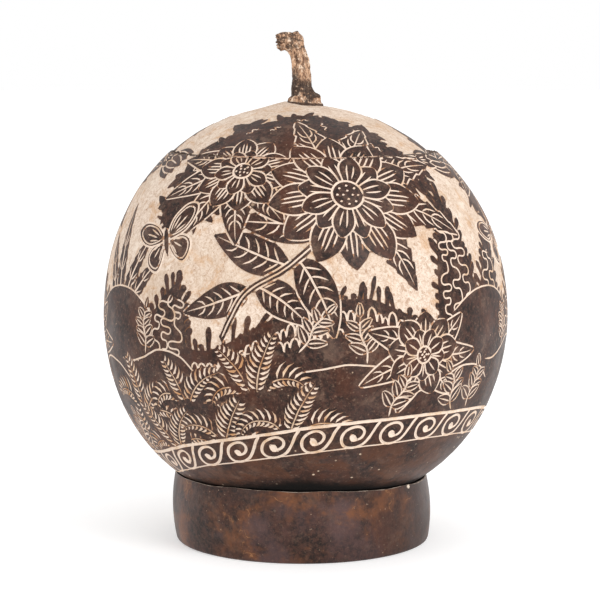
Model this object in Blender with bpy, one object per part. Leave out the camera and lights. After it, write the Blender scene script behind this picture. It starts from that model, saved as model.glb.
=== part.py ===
"""A globe-shaped dried gourd made into a lidded jar, standing on a ring cut from a second gourd.

Metres, +Z up. The origin is on the surface that the ring stands on, under the gourd's widest part.
The jar is seen from -Y. Its pieces only rest on each other: ring_base, gourd_body, which is hollow
and open at the top, and gourd_lid, which keeps the gourd's own dried stem as its knob.
"""

import math

import bpy
from mathutils import Vector

MM = 0.001

# The whole gourd, before it was cut
GOURD_WIDTH = 150 * MM
GOURD_CENTRE_Z = 84.4 * MM
# Distance of the skin from the centre, in half widths: how much of it is steady, and how much goes as the
# cosine of 1, 2, 3 and 4 times the angle from the top
GOURD_SHAPE = (1.011, 0.022, 0.0017, 0.0082, -0.0093)
GOURD_LEAN = -1.2 * MM  # how far the top and the bottom sit to the side of the widest part
SHELL = 4.5 * MM

# The cut between the body and the lid, which runs inwards and down
CUT_RADIUS = 48.9 * MM
CUT_Z = 144.3 * MM
CUT_SLOPE = 0.5
CUT_WAVES = ((2, 0.25 * MM, 0.6), (3, 0.20 * MM, 2.1), (5, 0.12 * MM, 4.0))  # waves round, height, start
CUT_SEARCH = (0.2, 1.2)  # radians from the top that the cut lies between
REST_GAP = 0.35 * MM

# The lid shrank as it dried, most at its edge, and sits a little to one side
LID_SHRINK_EDGE = 1.5 * MM
LID_SHRINK_TOP = 0.2 * MM
LID_SHIFT = -1.2 * MM

# The stem, which stands on the top of the lid
STEM_SHIFT = 1.2 * MM
STEM_HEIGHT = 26.2 * MM
STEM_RADIUS = 3.8 * MM
STEM_FOOT_FLARE = 3.9 * MM
STEM_FOOT_HEIGHT = 2.3 * MM
STEM_HEAD_FLARE = 1.3 * MM
STEM_HEAD_AT = 21.3 * MM
STEM_HEAD_HEIGHT = 1.9 * MM
STEM_LEAN = -4.7 * MM
STEM_LEAN_POWER = 5  # the stem stands straight and leans only near its head
STEM_RIDGES = 5
STEM_RIDGE_SHARE = 0.09
STEM_TWIST = 0.9  # radians from foot to head
STEM_TIP = 0.9 * MM  # how much higher the cut head is on one side
STEM_TIP_POWER = 6
STEM_CLEAR = 1.25  # the lid's own rings end this many times the foot's radius from the stem's middle

# The ring: a barrel-shaped band with a wavy upper edge, hollowed to take the gourd
RING_BULGE_RADIUS = 48.4 * MM
RING_BULGE_Z = 11.5 * MM
RING_CURVE = 8.3  # radius lost per square of the height above or below the bulge, in metres
RING_WALL = 4.2 * MM
RING_RIM_Z = 25.5 * MM
RING_RIM_SADDLE = 1.0 * MM  # the rim is this much higher at the front and the back than halfway
RING_RIM_TILT = 0.8 * MM  # how much lower it is at +X than at the middle
RING_OVAL = 0.06  # how much deeper than wide the rim is
RING_FOOT_X = -1.1 * MM
RING_RIM_X = -1.9 * MM
RING_EDGE = 0.4 * MM
RING_SIDE_SHARES = (0.03, 0.16, 0.32, 0.48, 0.64, 0.8, 0.92, 0.985)  # of the rim's height
RING_SEAT_SHARES = (1, 0.975, 0.95, 0.925, 0.9, 0.875, 0.85, 0.5, 0.03)

# How finely the solids are faceted
AROUND = 60
BODY_RINGS_OUTSIDE = 18
BODY_RINGS_INSIDE = 13
LID_RINGS_OUTSIDE = 7
LID_RINGS_INSIDE = 6
STEM_RINGS = 15
STEM_RING_CROWDING = 1.15  # over 1, the rings crowd towards the foot
SHARP_ANGLE = math.radians(35)


def skin_distance(angle):
    """Distance of the gourd's skin from its centre, at this angle from the top."""
    shares = (share * math.cos(k * angle) for k, share in enumerate(GOURD_SHAPE))
    return GOURD_WIDTH / 2 * sum(shares)


def skin_point(angle, turn, inset=0.0, shift=0.0):
    """A point on the gourd: angle from the top, turn about +Z, inset below the skin, shift along X."""
    distance = skin_distance(angle) - inset
    height = distance * math.cos(angle)
    reach = distance * math.sin(angle)
    lean = GOURD_LEAN * (height / (GOURD_WIDTH / 2)) ** 2
    return Vector((reach * math.cos(turn) + lean + shift, reach * math.sin(turn), GOURD_CENTRE_Z + height))


def cut_height(point):
    """Height of the cut between body and lid above or below this point."""
    lean = GOURD_LEAN * ((CUT_Z - GOURD_CENTRE_Z) / (GOURD_WIDTH / 2)) ** 2
    turn = math.atan2(point.y, point.x - lean)
    wave = sum(height * math.cos(count * turn + start) for count, height, start in CUT_WAVES)
    return CUT_Z + wave + CUT_SLOPE * (math.hypot(point.x - lean, point.y) - CUT_RADIUS)


def solve(falls, low, high):
    """Where a value that falls from positive to negative between low and high is zero."""
    for _ in range(40):
        middle = (low + high) / 2
        if falls(middle) > 0:
            low = middle
        else:
            high = middle
    return (low + high) / 2


def cut_angle(turn, skin, gap):
    """Angle from the top at which a skin meets the cut, raised by a gap."""
    return solve(lambda angle: skin(angle, turn).z - cut_height(skin(angle, turn)) - gap, *CUT_SEARCH)


def ring_of(point_at):
    return [point_at(2 * math.pi * step / AROUND) for step in range(AROUND)]


def body_skin(angle, turn):
    return skin_point(angle, turn)


def body_lining(angle, turn):
    return skin_point(angle, turn, inset=SHELL)


def lid_inset(angle):
    edge_share = (angle / math.asin(CUT_RADIUS / (GOURD_WIDTH / 2))) ** 2
    return LID_SHRINK_TOP + (LID_SHRINK_EDGE - LID_SHRINK_TOP) * edge_share


def lid_skin(angle, turn):
    return skin_point(angle, turn, lid_inset(angle), LID_SHIFT)


def lid_lining(angle, turn):
    return skin_point(angle, turn, lid_inset(angle) + SHELL, LID_SHIFT)


def skin_rings(skin, start, gap, count):
    """Rings from the start angle to the cut, without the start itself when that is a pole."""
    rings = []
    for step in range(count + 1):
        share = step / count

        def point_at(turn):
            end = cut_angle(turn, skin, gap)
            return skin(start + (end - start) * share, turn)

        rings.append(ring_of(point_at))
    return rings[1:] if start in (0, math.pi) else rings


def stem_radius(height, turn):
    foot = STEM_FOOT_FLARE * math.exp(-height / STEM_FOOT_HEIGHT)
    head = STEM_HEAD_FLARE * math.exp(-(((height - STEM_HEAD_AT) / STEM_HEAD_HEIGHT) ** 2))
    ridge = math.cos(STEM_RIDGES * turn + STEM_TWIST * height / STEM_HEIGHT * STEM_RIDGES)
    return (STEM_RADIUS + head) * (1 + STEM_RIDGE_SHARE * ridge) + foot


def stem_point(share, turn):
    """A point on the stem's side, at this share of its height above the lid's top."""
    height = STEM_HEIGHT * share
    top = lid_skin(0, 0)
    lean = STEM_LEAN * min(1, height / STEM_HEAD_AT) ** STEM_LEAN_POWER
    slope = STEM_TIP * share**STEM_TIP_POWER * math.cos(turn)
    radius = stem_radius(height, turn)
    side = Vector((radius * math.cos(turn), radius * math.sin(turn), height + slope))
    return top + side + Vector((STEM_SHIFT + lean, 0, 0))


def outside_gourd(point):
    """How far a point is outside the gourd's skin."""
    height = point.z - GOURD_CENTRE_Z
    lean = GOURD_LEAN * (height / (GOURD_WIDTH / 2)) ** 2
    reach = math.hypot(point.x - lean, point.y)
    return math.hypot(reach, height) - skin_distance(math.atan2(reach, height))


def ring_rim(turn):
    return RING_RIM_Z - RING_RIM_SADDLE * math.cos(2 * turn) - RING_RIM_TILT * math.cos(turn)


def ring_point(turn, height, inset=0.0):
    """A point at this height on the ring, inset from its outside."""
    share = height / RING_RIM_Z
    radius = RING_BULGE_RADIUS - RING_CURVE * (height - RING_BULGE_Z) ** 2 - inset
    middle = RING_FOOT_X + (RING_RIM_X - RING_FOOT_X) * share
    depth = 1 + RING_OVAL * share
    return Vector((middle + radius * math.cos(turn), depth * radius * math.sin(turn), height))


def ring_inside(turn, height):
    """The ring's inner face: its wall's thickness in, or clear of the gourd that sits in it."""

    def too_near(inset):
        return outside_gourd(ring_point(turn, height, inset)) - REST_GAP

    inset = RING_WALL
    if too_near(inset) < 0:
        inset = solve(too_near, 0, RING_WALL)
    return ring_point(turn, height, inset)


def ring_section():
    """Rings of points up the outside, over the rim, down the inside and back along the foot."""
    rings = [ring_of(lambda turn: ring_point(turn, 0, RING_EDGE))]
    for share in RING_SIDE_SHARES:
        rings.append(ring_of(lambda turn: ring_point(turn, share * ring_rim(turn))))
    rings.append(ring_of(lambda turn: ring_point(turn, ring_rim(turn), RING_EDGE / 2)))
    for share in RING_SEAT_SHARES:
        rings.append(ring_of(lambda turn: ring_inside(turn, share * ring_rim(turn))))
    rings.append(ring_of(lambda turn: ring_point(turn, 0, RING_WALL - RING_EDGE)))
    return rings


def material(name, colour, roughness):
    made = bpy.data.materials.new(name)
    made.use_nodes = True
    shader = made.node_tree.nodes["Principled BSDF"]
    shader.inputs["Base Color"].default_value = (*colour, 1)
    shader.inputs["Roughness"].default_value = roughness
    shader.inputs["Metallic"].default_value = 0
    made.diffuse_color = (*colour, 1)
    return made


def side_faces(rings, closed):
    """Quads between neighbouring rings. Point j of ring i is vertex i * AROUND + j."""
    faces = []
    for i in range(len(rings) if closed else len(rings) - 1):
        here = i * AROUND
        there = (i + 1) % len(rings) * AROUND
        for j in range(AROUND):
            k = (j + 1) % AROUND
            faces.append((here + j, here + k, there + k, there + j))
    return faces


def loft(name, rings, finish, first_pole=None, last_pole=None):
    """One closed solid through rings of points, ended by two poles or joined into a loop."""
    points = [point for ring in rings for point in ring]
    faces = side_faces(rings, closed=first_pole is None)
    if first_pole is not None:
        first = len(points)
        last_ring = first - AROUND
        points += [first_pole, last_pole]
        for j in range(AROUND):
            k = (j + 1) % AROUND
            faces.append((first, k, j))
            faces.append((last_ring + j, last_ring + k, first + 1))
    mesh = bpy.data.meshes.new(name)
    mesh.from_pydata(points, [], faces)
    mesh.materials.append(finish)
    mesh.shade_smooth()
    mesh.set_sharp_from_angle(angle=SHARP_ANGLE)
    made = bpy.data.objects.new(name, mesh)
    bpy.context.scene.collection.objects.link(made)
    return made


def make_body():
    outside = skin_rings(body_skin, math.pi, 0, BODY_RINGS_OUTSIDE)
    inside = skin_rings(body_lining, math.pi, 0, BODY_RINGS_INSIDE)
    finish = material("dyed_gourd", (0.13, 0.085, 0.065), 0.5)
    poles = body_skin(math.pi, 0), body_lining(math.pi, 0)
    return loft("gourd_body", outside + inside[::-1], finish, *poles)


def make_lid():
    inside = skin_rings(lid_lining, 0, REST_GAP, LID_RINGS_INSIDE)
    stem_foot = math.asin((STEM_RADIUS + STEM_FOOT_FLARE) * STEM_CLEAR / (GOURD_WIDTH / 2))
    outside = skin_rings(lid_skin, stem_foot, REST_GAP, LID_RINGS_OUTSIDE)
    stem = []
    for step in range(STEM_RINGS + 1):
        share = (step / STEM_RINGS) ** STEM_RING_CROWDING
        stem.append(ring_of(lambda turn: stem_point(share, turn)))
    head = sum(stem[-1], Vector()) / AROUND
    finish = material("scraped_gourd", (0.62, 0.49, 0.37), 0.6)
    return loft("gourd_lid", inside + outside[::-1] + stem, finish, lid_lining(0, 0), head)


def make_ring():
    return loft("ring_base", ring_section(), material("dyed_ring", (0.10, 0.055, 0.04), 0.4))


def main():
    for old in list(bpy.data.objects):
        bpy.data.objects.remove(old, do_unlink=True)
    make_ring()
    make_body()
    make_lid()


main()
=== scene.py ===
"""Looks of the carved gourd jar: its carved and dyed shell, its lid with the dried stem, and its ring.

Metres, +Z up, in the same frame as the CAD. The jar is seen from -Y. A place on the gourd is given by
its turn about +Z, 270 degrees at the front, and its angle down from the top.
"""

import math
import random

import bpy
import numpy as np
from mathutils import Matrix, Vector, kdtree, noise
from mathutils.geometry import delaunay_2d_cdt


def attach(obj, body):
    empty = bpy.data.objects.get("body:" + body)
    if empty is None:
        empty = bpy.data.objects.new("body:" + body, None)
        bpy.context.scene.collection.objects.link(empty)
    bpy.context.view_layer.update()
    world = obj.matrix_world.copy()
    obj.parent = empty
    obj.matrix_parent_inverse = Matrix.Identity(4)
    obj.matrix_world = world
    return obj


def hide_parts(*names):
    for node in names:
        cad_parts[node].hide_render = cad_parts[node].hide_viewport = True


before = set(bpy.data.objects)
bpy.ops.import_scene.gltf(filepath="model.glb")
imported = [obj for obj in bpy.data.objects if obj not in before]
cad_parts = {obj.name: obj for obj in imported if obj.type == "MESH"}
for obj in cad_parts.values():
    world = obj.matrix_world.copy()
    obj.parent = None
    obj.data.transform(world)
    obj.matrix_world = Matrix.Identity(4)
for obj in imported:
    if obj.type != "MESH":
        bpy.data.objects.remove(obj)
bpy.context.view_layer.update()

MM = 0.001
SEED = 7  # of all chance and noise in the drawing, so that each run draws the same

# The gourd, as in the CAD
GOURD_RADIUS = 75 * MM
GOURD_CENTRE_Z = 84.4 * MM
GOURD_SHAPE = (1.011, 0.022, 0.0017, 0.0082, -0.0093)
GOURD_LEAN = -1.2 * MM
SHELL = 4.5 * MM
CUT_RADIUS = 48.9 * MM
CUT_Z = 144.3 * MM
CUT_SLOPE = 0.5
CUT_WAVES = ((2, 0.25 * MM, 0.6), (3, 0.20 * MM, 2.1), (5, 0.12 * MM, 4.0))
CUT_SEARCH = (0.2, 1.2)
REST_GAP = 0.35 * MM
LID_SHRINK_EDGE = 1.5 * MM
LID_SHRINK_TOP = 0.2 * MM
LID_SHIFT = -1.2 * MM

# The ring, as in the CAD
RING_BULGE_RADIUS = 48.4 * MM
RING_BULGE_Z = 11.5 * MM
RING_CURVE = 8.3
RING_WALL = 4.2 * MM
RING_RIM_Z = 25.5 * MM
RING_RIM_SADDLE = 1.0 * MM
RING_RIM_TILT = 0.8 * MM
RING_OVAL = 0.06
RING_FOOT_X = -1.1 * MM
RING_RIM_X = -1.9 * MM

# The camera, which stands in front of the jar and looks a little down
CAMERA_AT = (-2.05 * MM, -745 * MM, 172.6 * MM)
CAMERA_PITCH = math.radians(6.41)
CAMERA_LENS = 120.6
CAMERA_SENSOR = 36
CAMERA_CLIP = (0.05, 60)

# The carving
DRAWING_RADIUS = 75.0  # millimetres: motifs are drawn on a ball of this radius
SCRAPE_DEPTH = 0.30 * MM
GROOVE_DEPTH = 0.42 * MM
LINE = 0.68  # millimetres: the usual width of a drawn line
POINT_STEP = 1.3  # millimetres between the points of a drawn curve
FIELD_STEP = 4.2  # millimetres between the points of a bare surface
FIELD_START = 0.8  # degrees from the top
FIELD_JITTER = 0.25  # of that step
BESIDE = 0.5  # millimetres from a dark edge to the foot of its slope
BESIDE_CLEAR = 0.72  # of that distance is kept free around the points there
FIELD_CLEAR = 1.3  # millimetres kept free around the points of a bare surface
MERGE = 0.004  # millimetres within which points become one
CARVED_DOWN_TO = 146  # degrees from the top, just inside the ring
RIM_POINTS = 300
FOOT_POINTS = 120
LINING_AROUND = 144
LINING_RINGS = 18
SKIN, SCRAPED, GROOVE, FINE, RAW = range(5)  # a face's tone, and its material's place on the piece
OUTLINE = 5  # of a dark shape: it is cut where it lies on dark skin, and left out on the light field


# Shape of the gourd


def even_turns(count):
    return np.arange(count) * 2 * math.pi / count


def skin_distance(angle):
    return GOURD_RADIUS * sum(share * np.cos(k * angle) for k, share in enumerate(GOURD_SHAPE))


def skin_points(angle, turn, inset=0.0, shift=0.0):
    """Points on the gourd, inset below its skin and shifted along X."""
    angle, turn = np.broadcast_arrays(angle, turn)
    distance = skin_distance(angle) - inset
    height = distance * np.cos(angle)
    reach = distance * np.sin(angle)
    lean = GOURD_LEAN * (height / GOURD_RADIUS) ** 2 + shift
    return np.stack([reach * np.cos(turn) + lean, reach * np.sin(turn), GOURD_CENTRE_Z + height], -1)


def cut_height(points):
    """Height of the cut between body and lid above or below these points."""
    lean = GOURD_LEAN * ((CUT_Z - GOURD_CENTRE_Z) / GOURD_RADIUS) ** 2
    x, y = points[..., 0] - lean, points[..., 1]
    turn = np.arctan2(y, x)
    wave = sum(height * np.cos(count * turn + start) for count, height, start in CUT_WAVES)
    return CUT_Z + wave + CUT_SLOPE * (np.hypot(x, y) - CUT_RADIUS)


def cut_angle(turn, skin, gap=0.0):
    """Angle from the top at which a skin meets the cut, raised by a gap."""
    low = np.full(np.shape(turn), CUT_SEARCH[0])
    high = np.full(np.shape(turn), CUT_SEARCH[1])
    for _ in range(30):
        middle = (low + high) / 2
        points = skin(middle, turn)
        above = points[..., 2] > cut_height(points) + gap
        low = np.where(above, middle, low)
        high = np.where(above, high, middle)
    return (low + high) / 2


def lid_inset(angle):
    edge_share = (angle / math.asin(CUT_RADIUS / GOURD_RADIUS)) ** 2
    return LID_SHRINK_TOP + (LID_SHRINK_EDGE - LID_SHRINK_TOP) * edge_share


def lid_points(angle, turn, inset=0.0):
    return skin_points(angle, turn, lid_inset(angle) + inset, LID_SHIFT)


# Drawing on the gourd. A direction is a unit vector from the gourd's centre.


def direction(turn, angle):
    """Unit vectors from degrees of turn and degrees from the top."""
    turn, angle = np.radians(turn), np.radians(angle)
    turn, angle = np.broadcast_arrays(turn, angle)
    return np.stack([np.sin(angle) * np.cos(turn), np.sin(angle) * np.sin(turn), np.cos(angle)], -1)


def unit(vectors):
    return vectors / np.linalg.norm(vectors, axis=-1, keepdims=True)


def turned(points, rotation):
    """The x and y of flat points, turned anticlockwise by so many degrees."""
    points = np.asarray(points, float)
    c, s = math.cos(math.radians(rotation)), math.sin(math.radians(rotation))
    return points[:, 0] * c - points[:, 1] * s, points[:, 0] * s + points[:, 1] * c


def spot(turn, angle, rotation=0.0):
    """A flat drawing frame laid on the gourd: millimetres to the right and up, turned anticlockwise."""
    middle = direction(turn, angle)
    right = unit(np.cross((0, 0, 1), middle))
    up = np.cross(middle, right)

    def draw(points):
        x, y = turned(points, rotation)
        far = np.hypot(x, y)
        share = far / DRAWING_RADIUS
        safe = np.maximum(far, 1e-9)
        side = (x / safe)[:, None] * right + (y / safe)[:, None] * up
        return middle * np.cos(share)[:, None] + side * np.sin(share)[:, None]

    return draw


def spline(points, closed=False, step=POINT_STEP):
    """An even, smooth curve through the points."""
    points = np.asarray(points, float)
    count = len(points)
    if closed:
        loop = np.concatenate([points[-1:], points, points[:2]])
    else:
        loop = np.concatenate([2 * points[:1] - points[1:2], points, 2 * points[-1:] - points[-2:-1]])
    fine = []
    shares = np.linspace(0, 1, 12, endpoint=False)[:, None]
    for i in range(count if closed else count - 1):
        a, b, c, d = loop[i : i + 4]
        curve = b + shares / 2 * (c - a) + shares**2 / 2 * (2 * a - 5 * b + 4 * c - d)
        fine.append(curve + shares**3 / 2 * (3 * b - a - 3 * c + d))
    fine.append(points[:1] if closed else points[-1:])
    return even(np.concatenate(fine), step)


def travelled(points):
    """How far along the polyline each of its points is."""
    return np.concatenate([[0], np.cumsum(np.linalg.norm(np.diff(points, axis=0), axis=1))])


def even(points, step=POINT_STEP):
    """The same polyline with points at even distances."""
    points = np.asarray(points, float)
    lengths = travelled(points)
    count = max(3, int(round(lengths[-1] / step)) + 1)
    where = np.linspace(0, lengths[-1], count)
    return np.stack([np.interp(where, lengths, points[:, k]) for k in range(points.shape[1])], 1)


HAND_SLOW = 0.0065  # the hand's slow drift, in radians, and how many times it turns over a radian
HAND_SLOW_RATE = 5.0
HAND_QUICK = 0.0016
HAND_QUICK_RATE = 24.0
HAND_PRESS = 0.16  # how much a stroke's width changes, and how many times over a radian
HAND_PRESS_RATE = 40


def by_hand(directions):
    """Moves drawn points a little, as a hand does."""
    moved = np.empty_like(directions)
    for i, d in enumerate(directions):
        v = Vector(d)
        slow = noise.noise_vector(v * HAND_SLOW_RATE)
        quick = noise.noise_vector(v * HAND_QUICK_RATE + Vector((7, 3, 5)))
        moved[i] = v + slow * HAND_SLOW + quick * HAND_QUICK
    return unit(moved)


def on_plane(directions):
    """The gourd flattened without changing angles: the top is the middle, and the bottom is far out."""
    return directions[:, :2] / (1 + directions[:, 2:]) * DRAWING_RADIUS


def off_plane(points):
    """The directions of points on the plane."""
    flat = points / DRAWING_RADIUS
    square = (flat**2).sum(1)
    height = (1 - square) / (1 + square)
    return np.column_stack([flat * (1 + height)[:, None], height])


class Carving:
    """Areas and strokes in the order that they are drawn. A later one lies over the earlier ones."""

    def __init__(self):
        self.items = []

    def area(self, directions, tone):
        self.items.append(("area", by_hand(directions), None, tone))

    def line(self, directions):
        """The deepest line of a cut, which has no width of its own."""
        self.items.append(("line", by_hand(directions), None, None))

    def stroke(self, directions, width, tone=GROOVE, ends=(1.0, 1.0)):
        """A stroke this many millimetres wide, that narrows over so many millimetres at its two ends."""
        line = by_hand(directions)
        length = travelled(line) * DRAWING_RADIUS
        start = np.clip(length / max(ends[0], 0.01), 0, 1)
        stop = np.clip((length[-1] - length) / max(ends[1], 0.01), 0, 1)
        half = width / 2 * np.sqrt(np.minimum(start, stop))
        half *= [1 + HAND_PRESS * noise.noise(Vector(d) * HAND_PRESS_RATE) for d in line]
        self.items.append(("stroke", line, half, tone))


def stroke_sides(line, half):
    """Left and right edge of a stroke, without its two ends."""
    along = unit(line[2:] - line[:-2])
    across = np.cross(line[1:-1], along) * (half[1:-1] / DRAWING_RADIUS)[:, None]
    return unit(line[1:-1] + across), unit(line[1:-1] - across)


class Outline:
    """Points and edges that the mesh has to follow, each with the number of the item it belongs to."""

    def __init__(self):
        self.points = []
        self.edges = []
        self.item = []
        self.count = 0

    def add(self, directions, closed, item):
        n = len(directions)
        first = self.count
        self.points.append(on_plane(directions))
        self.item += [item] * n
        last = n if closed else n - 1
        self.edges += [(first + i, first + (i + 1) % n) for i in range(last)]
        self.count += n

    def follow(self, items):
        """Adds the edges of all areas and strokes, and returns points beside the edges of what is dark."""
        beside = []
        for number, (kind, line, half, tone) in enumerate(items):
            if kind != "stroke":
                self.add(line, True, number)
                if kind == "area":
                    along = unit(np.roll(line, -1, 0) - np.roll(line, 1, 0))
                    across = np.cross(line, along) * (BESIDE / DRAWING_RADIUS)
                    beside += [unit(line + across), unit(line - across)]
                continue
            left, right = stroke_sides(line, half)
            self.add(np.concatenate([line[:1], left, line[-1:], right[::-1]]), True, number)
            if tone != SKIN:
                self.add(line[1:-1:2] if len(line) > 6 else line[1:-1], False, number)
            else:
                beside += stroke_sides(line, half + BESIDE)
                beside.append(unit(line[[0, -1]] + (line[[0, -1]] - line[[1, -2]]) * 0.6))
        return np.concatenate(beside)

    def shown(self, items):
        """The points and edges that no later area hides, without outlines over the light field."""
        points = np.concatenate(self.points)
        number = np.array(self.item)
        hidden = np.zeros(len(points), bool)

        def leave_out(item, tones):
            own = np.flatnonzero((number == item) | (number == item + 1))
            hidden[own[tones[own] == SCRAPED]] = True

        tones_of(off_plane(points), items, leave_out)
        finder = Finder(points)
        for later, (kind, line, _, _) in enumerate(items):
            if kind == "area":
                drawn = on_plane(line)
                near = finder.box(drawn, 0.0)
                near = near[(number[near] < later) & ~hidden[near]]
                hidden[near[inside(points[near], drawn)]] = True
        edges = np.array(self.edges)
        edges = edges[~(hidden[edges[:, 0]] & hidden[edges[:, 1]])]
        wanted = ~hidden
        wanted[edges] = True
        place = np.cumsum(wanted) - 1
        return points[wanted], place[edges]


def field_directions(rng):
    """Scattered rows of points that cover the gourd down to where the carving ends."""
    rows = []
    step = math.degrees(FIELD_STEP / DRAWING_RADIUS)
    reach = FIELD_JITTER
    angle = FIELD_START
    while angle < CARVED_DOWN_TO - step / 2:
        around = max(6, round(2 * math.pi * math.sin(math.radians(angle)) * DRAWING_RADIUS / FIELD_STEP))
        turns = (np.arange(around) + rng.random()) * 360 / around
        jitter = np.array([[rng.uniform(-reach, reach), rng.uniform(-reach, reach)] for _ in range(around)])
        rows.append(direction(turns + jitter[:, 0] * 360 / around, angle + jitter[:, 1] * step))
        angle += step
    return np.concatenate(rows)


def clear_of(candidates, taken, distance):
    """The candidates that keep this distance, in millimetres, to all taken directions."""
    tree = kdtree.KDTree(len(taken))
    for i, d in enumerate(taken):
        tree.insert(d, i)
    tree.balance()
    reach = distance / DRAWING_RADIUS
    return np.array([d for d in candidates if tree.find(d)[2] > reach])


class Finder:
    """Quickly finds the points that lie in a box on the plane."""

    def __init__(self, flat):
        self.flat = flat
        self.order = np.argsort(flat[:, 0])
        self.x = flat[self.order, 0]

    def box(self, points, margin):
        """Points in the box round these ones, made larger by a margin in millimetres on the gourd."""
        scale = (1 + (points**2).sum(1).max() / DRAWING_RADIUS**2) / 2
        low, high = points.min(0) - margin * scale, points.max(0) + margin * scale
        found = self.order[np.searchsorted(self.x, low[0]) : np.searchsorted(self.x, high[0])]
        y = self.flat[found, 1]
        return found[(y > low[1]) & (y < high[1])]


def inside(points, loop):
    """Which points a closed polygon on the plane holds."""
    x, y = points[:, 0][:, None], points[:, 1][:, None]
    x0, y0 = loop[:, 0][None], loop[:, 1][None]
    x1, y1 = np.roll(loop[:, 0], -1)[None], np.roll(loop[:, 1], -1)[None]
    up = (y0 <= y) & (y1 > y)
    down = (y1 <= y) & (y0 > y)
    side = (x1 - x0) * (y - y0) - (x - x0) * (y1 - y0)
    return ((up & (side > 0)).sum(1) - (down & (side < 0)).sum(1)) != 0


def near_line(directions, line, half):
    """Which directions lie within a stroke."""
    a = line[:-1]
    ab = line[1:] - a
    ap = directions[:, None] - a[None]
    share = np.clip(np.einsum("fsk,sk->fs", ap, ab) / np.maximum((ab**2).sum(1), 1e-12), 0, 1)
    ap -= share[..., None] * ab[None]
    width = (half[:-1] * (1 - share) + half[1:] * share) / DRAWING_RADIUS
    return (np.einsum("fsk,fsk->fs", ap, ap) < width**2).any(1)


STROKE_PART = 12  # points of a stroke that are tested together
AREA_PART = 4_000_000  # pairs of a face and an edge that are tested together


def tones_of(centres, items, before_outline=None):
    """The tone of each face: that of the last item drawn over its middle.

    Before each outline is drawn, its number and the tones up to then go to before_outline.
    """
    flat = on_plane(centres)
    finder = Finder(flat)
    tones = np.full(len(centres), SKIN)
    for number, (kind, line, half, tone) in enumerate(items):
        if before_outline and tone == OUTLINE:
            before_outline(number, tones)
        if kind == "line":
            continue
        drawn = on_plane(line)
        if kind == "area":
            near = finder.box(drawn, 0.0)
            if tone == OUTLINE:
                near = near[tones[near] != SCRAPED]
            for part in np.array_split(near, len(near) * len(line) // AREA_PART + 1):
                tones[part[inside(flat[part], drawn)]] = GROOVE if tone == OUTLINE else tone
            continue
        for start in range(0, len(line) - 1, STROKE_PART):
            some = slice(start, start + STROKE_PART + 1)
            near = finder.box(drawn[some], half[some].max() * 1.2 + 0.2)
            if len(near):
                tones[near[near_line(centres[near], line[some], half[some])]] = tone
    return tones


def carve(items, rng):
    """Triangles that follow every edge of the drawing."""
    outline = Outline()
    beside = outline.follow(items)
    turns = even_turns(RIM_POINTS)
    rim = direction(np.degrees(turns), np.degrees(cut_angle(turns, skin_points)))
    foot = direction(np.arange(FOOT_POINTS) * 360 / FOOT_POINTS, CARVED_DOWN_TO)
    for loop in (rim, foot):
        outline.add(loop, True, len(items))
    points, edges = outline.shown(items)
    taken = off_plane(points)
    beside = clear_of(beside[tones_of(beside, items) == SCRAPED], taken, BESIDE_CLEAR * BESIDE)
    field = clear_of(field_directions(rng), np.concatenate([taken, beside]), FIELD_CLEAR)
    flat = np.concatenate([points, on_plane(beside), on_plane(field)])
    mesh = Triangles(flat, edges, items)
    free = np.zeros(len(mesh.flat), bool)
    for i, sources in enumerate(mesh.sources):
        free[i] = any(source >= len(points) for source in sources)
    return Triangles(*mesh.needed(free), items)


def sides(corners):
    """The sides of triangles, each with its lower vertex first."""
    return np.sort(np.concatenate([corners[:, [0, 1]], corners[:, [1, 2]], corners[:, [2, 0]]]), axis=1)


def differs(count, which, values):
    """For each of so many groups, whether the values in it differ."""
    low = np.full(count, values.max())
    high = np.full(count, values.min())
    np.minimum.at(low, which, values)
    np.maximum.at(high, which, values)
    return low != high


class Triangles:
    """The drawing as triangles on the plane."""

    def __init__(self, flat, edges, items):
        made = delaunay_2d_cdt([Vector(p) for p in flat], edges.tolist(), [], 0, MERGE, True)
        self.flat = np.array([(p.x, p.y) for p in made[0]])
        self.sources = made[3]
        self.drawn = np.array([edge for edge, own in zip(made[1], made[4]) if own])
        self.directions = off_plane(self.flat)
        self.corners = np.array(made[2])
        centres = unit(self.directions[self.corners].mean(1))
        self.tones = tones_of(centres, items)
        angle, turn = angles_of(centres)
        self.on_lid = angle < cut_angle(turn, skin_points)
        self.carved = angle < math.radians(CARVED_DOWN_TO)

    def needed(self, free):
        """What is still needed: edges between two tones, middles of cuts and free points."""
        zone = np.where(self.carved, self.tones + 10 * self.on_lid, -1)
        edges, which = np.unique(sides(self.corners), axis=0, return_inverse=True)
        edges = edges[differs(len(edges), which.reshape(-1), np.tile(zone, 3))]
        bare = np.zeros(len(self.flat), bool)
        bare[self.corners[(self.tones == SKIN) | (self.tones == SCRAPED)]] = True
        middles = self.drawn[~bare[self.drawn].any(1)]
        edges = np.concatenate([edges, middles])
        keep = free | ~bare
        keep[edges] = True
        edge = DRAWING_RADIUS * math.tan(math.radians(CARVED_DOWN_TO / 2)) + 1
        keep &= (self.flat**2).sum(1) < edge**2
        place = np.cumsum(keep) - 1
        return self.flat[keep], place[edges]


# Motifs. Each draws with a frame such as spot gives, in millimetres, growing up from (0, 0).


def moved(frame_at, x, y, rotation=0.0, flip=1, size=1.0):
    """A drawing frame inside another: placed at (x, y), turned anticlockwise, mirrored by a flip of -1."""

    def draw(points):
        points = np.asarray(points, float) * (flip * size, size)
        return frame_at(np.stack(turned(points, rotation), 1) + (x, y))

    return draw


RIB_STEPS = 60  # along a leaf, petal or bush
TOOTH_BITE = 0.25  # of a leaf's half width


def arc(radius, start, stop, count):
    turns = np.radians(np.linspace(start, stop, count))
    return np.stack([radius * np.cos(turns), radius * np.sin(turns)], 1)


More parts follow.
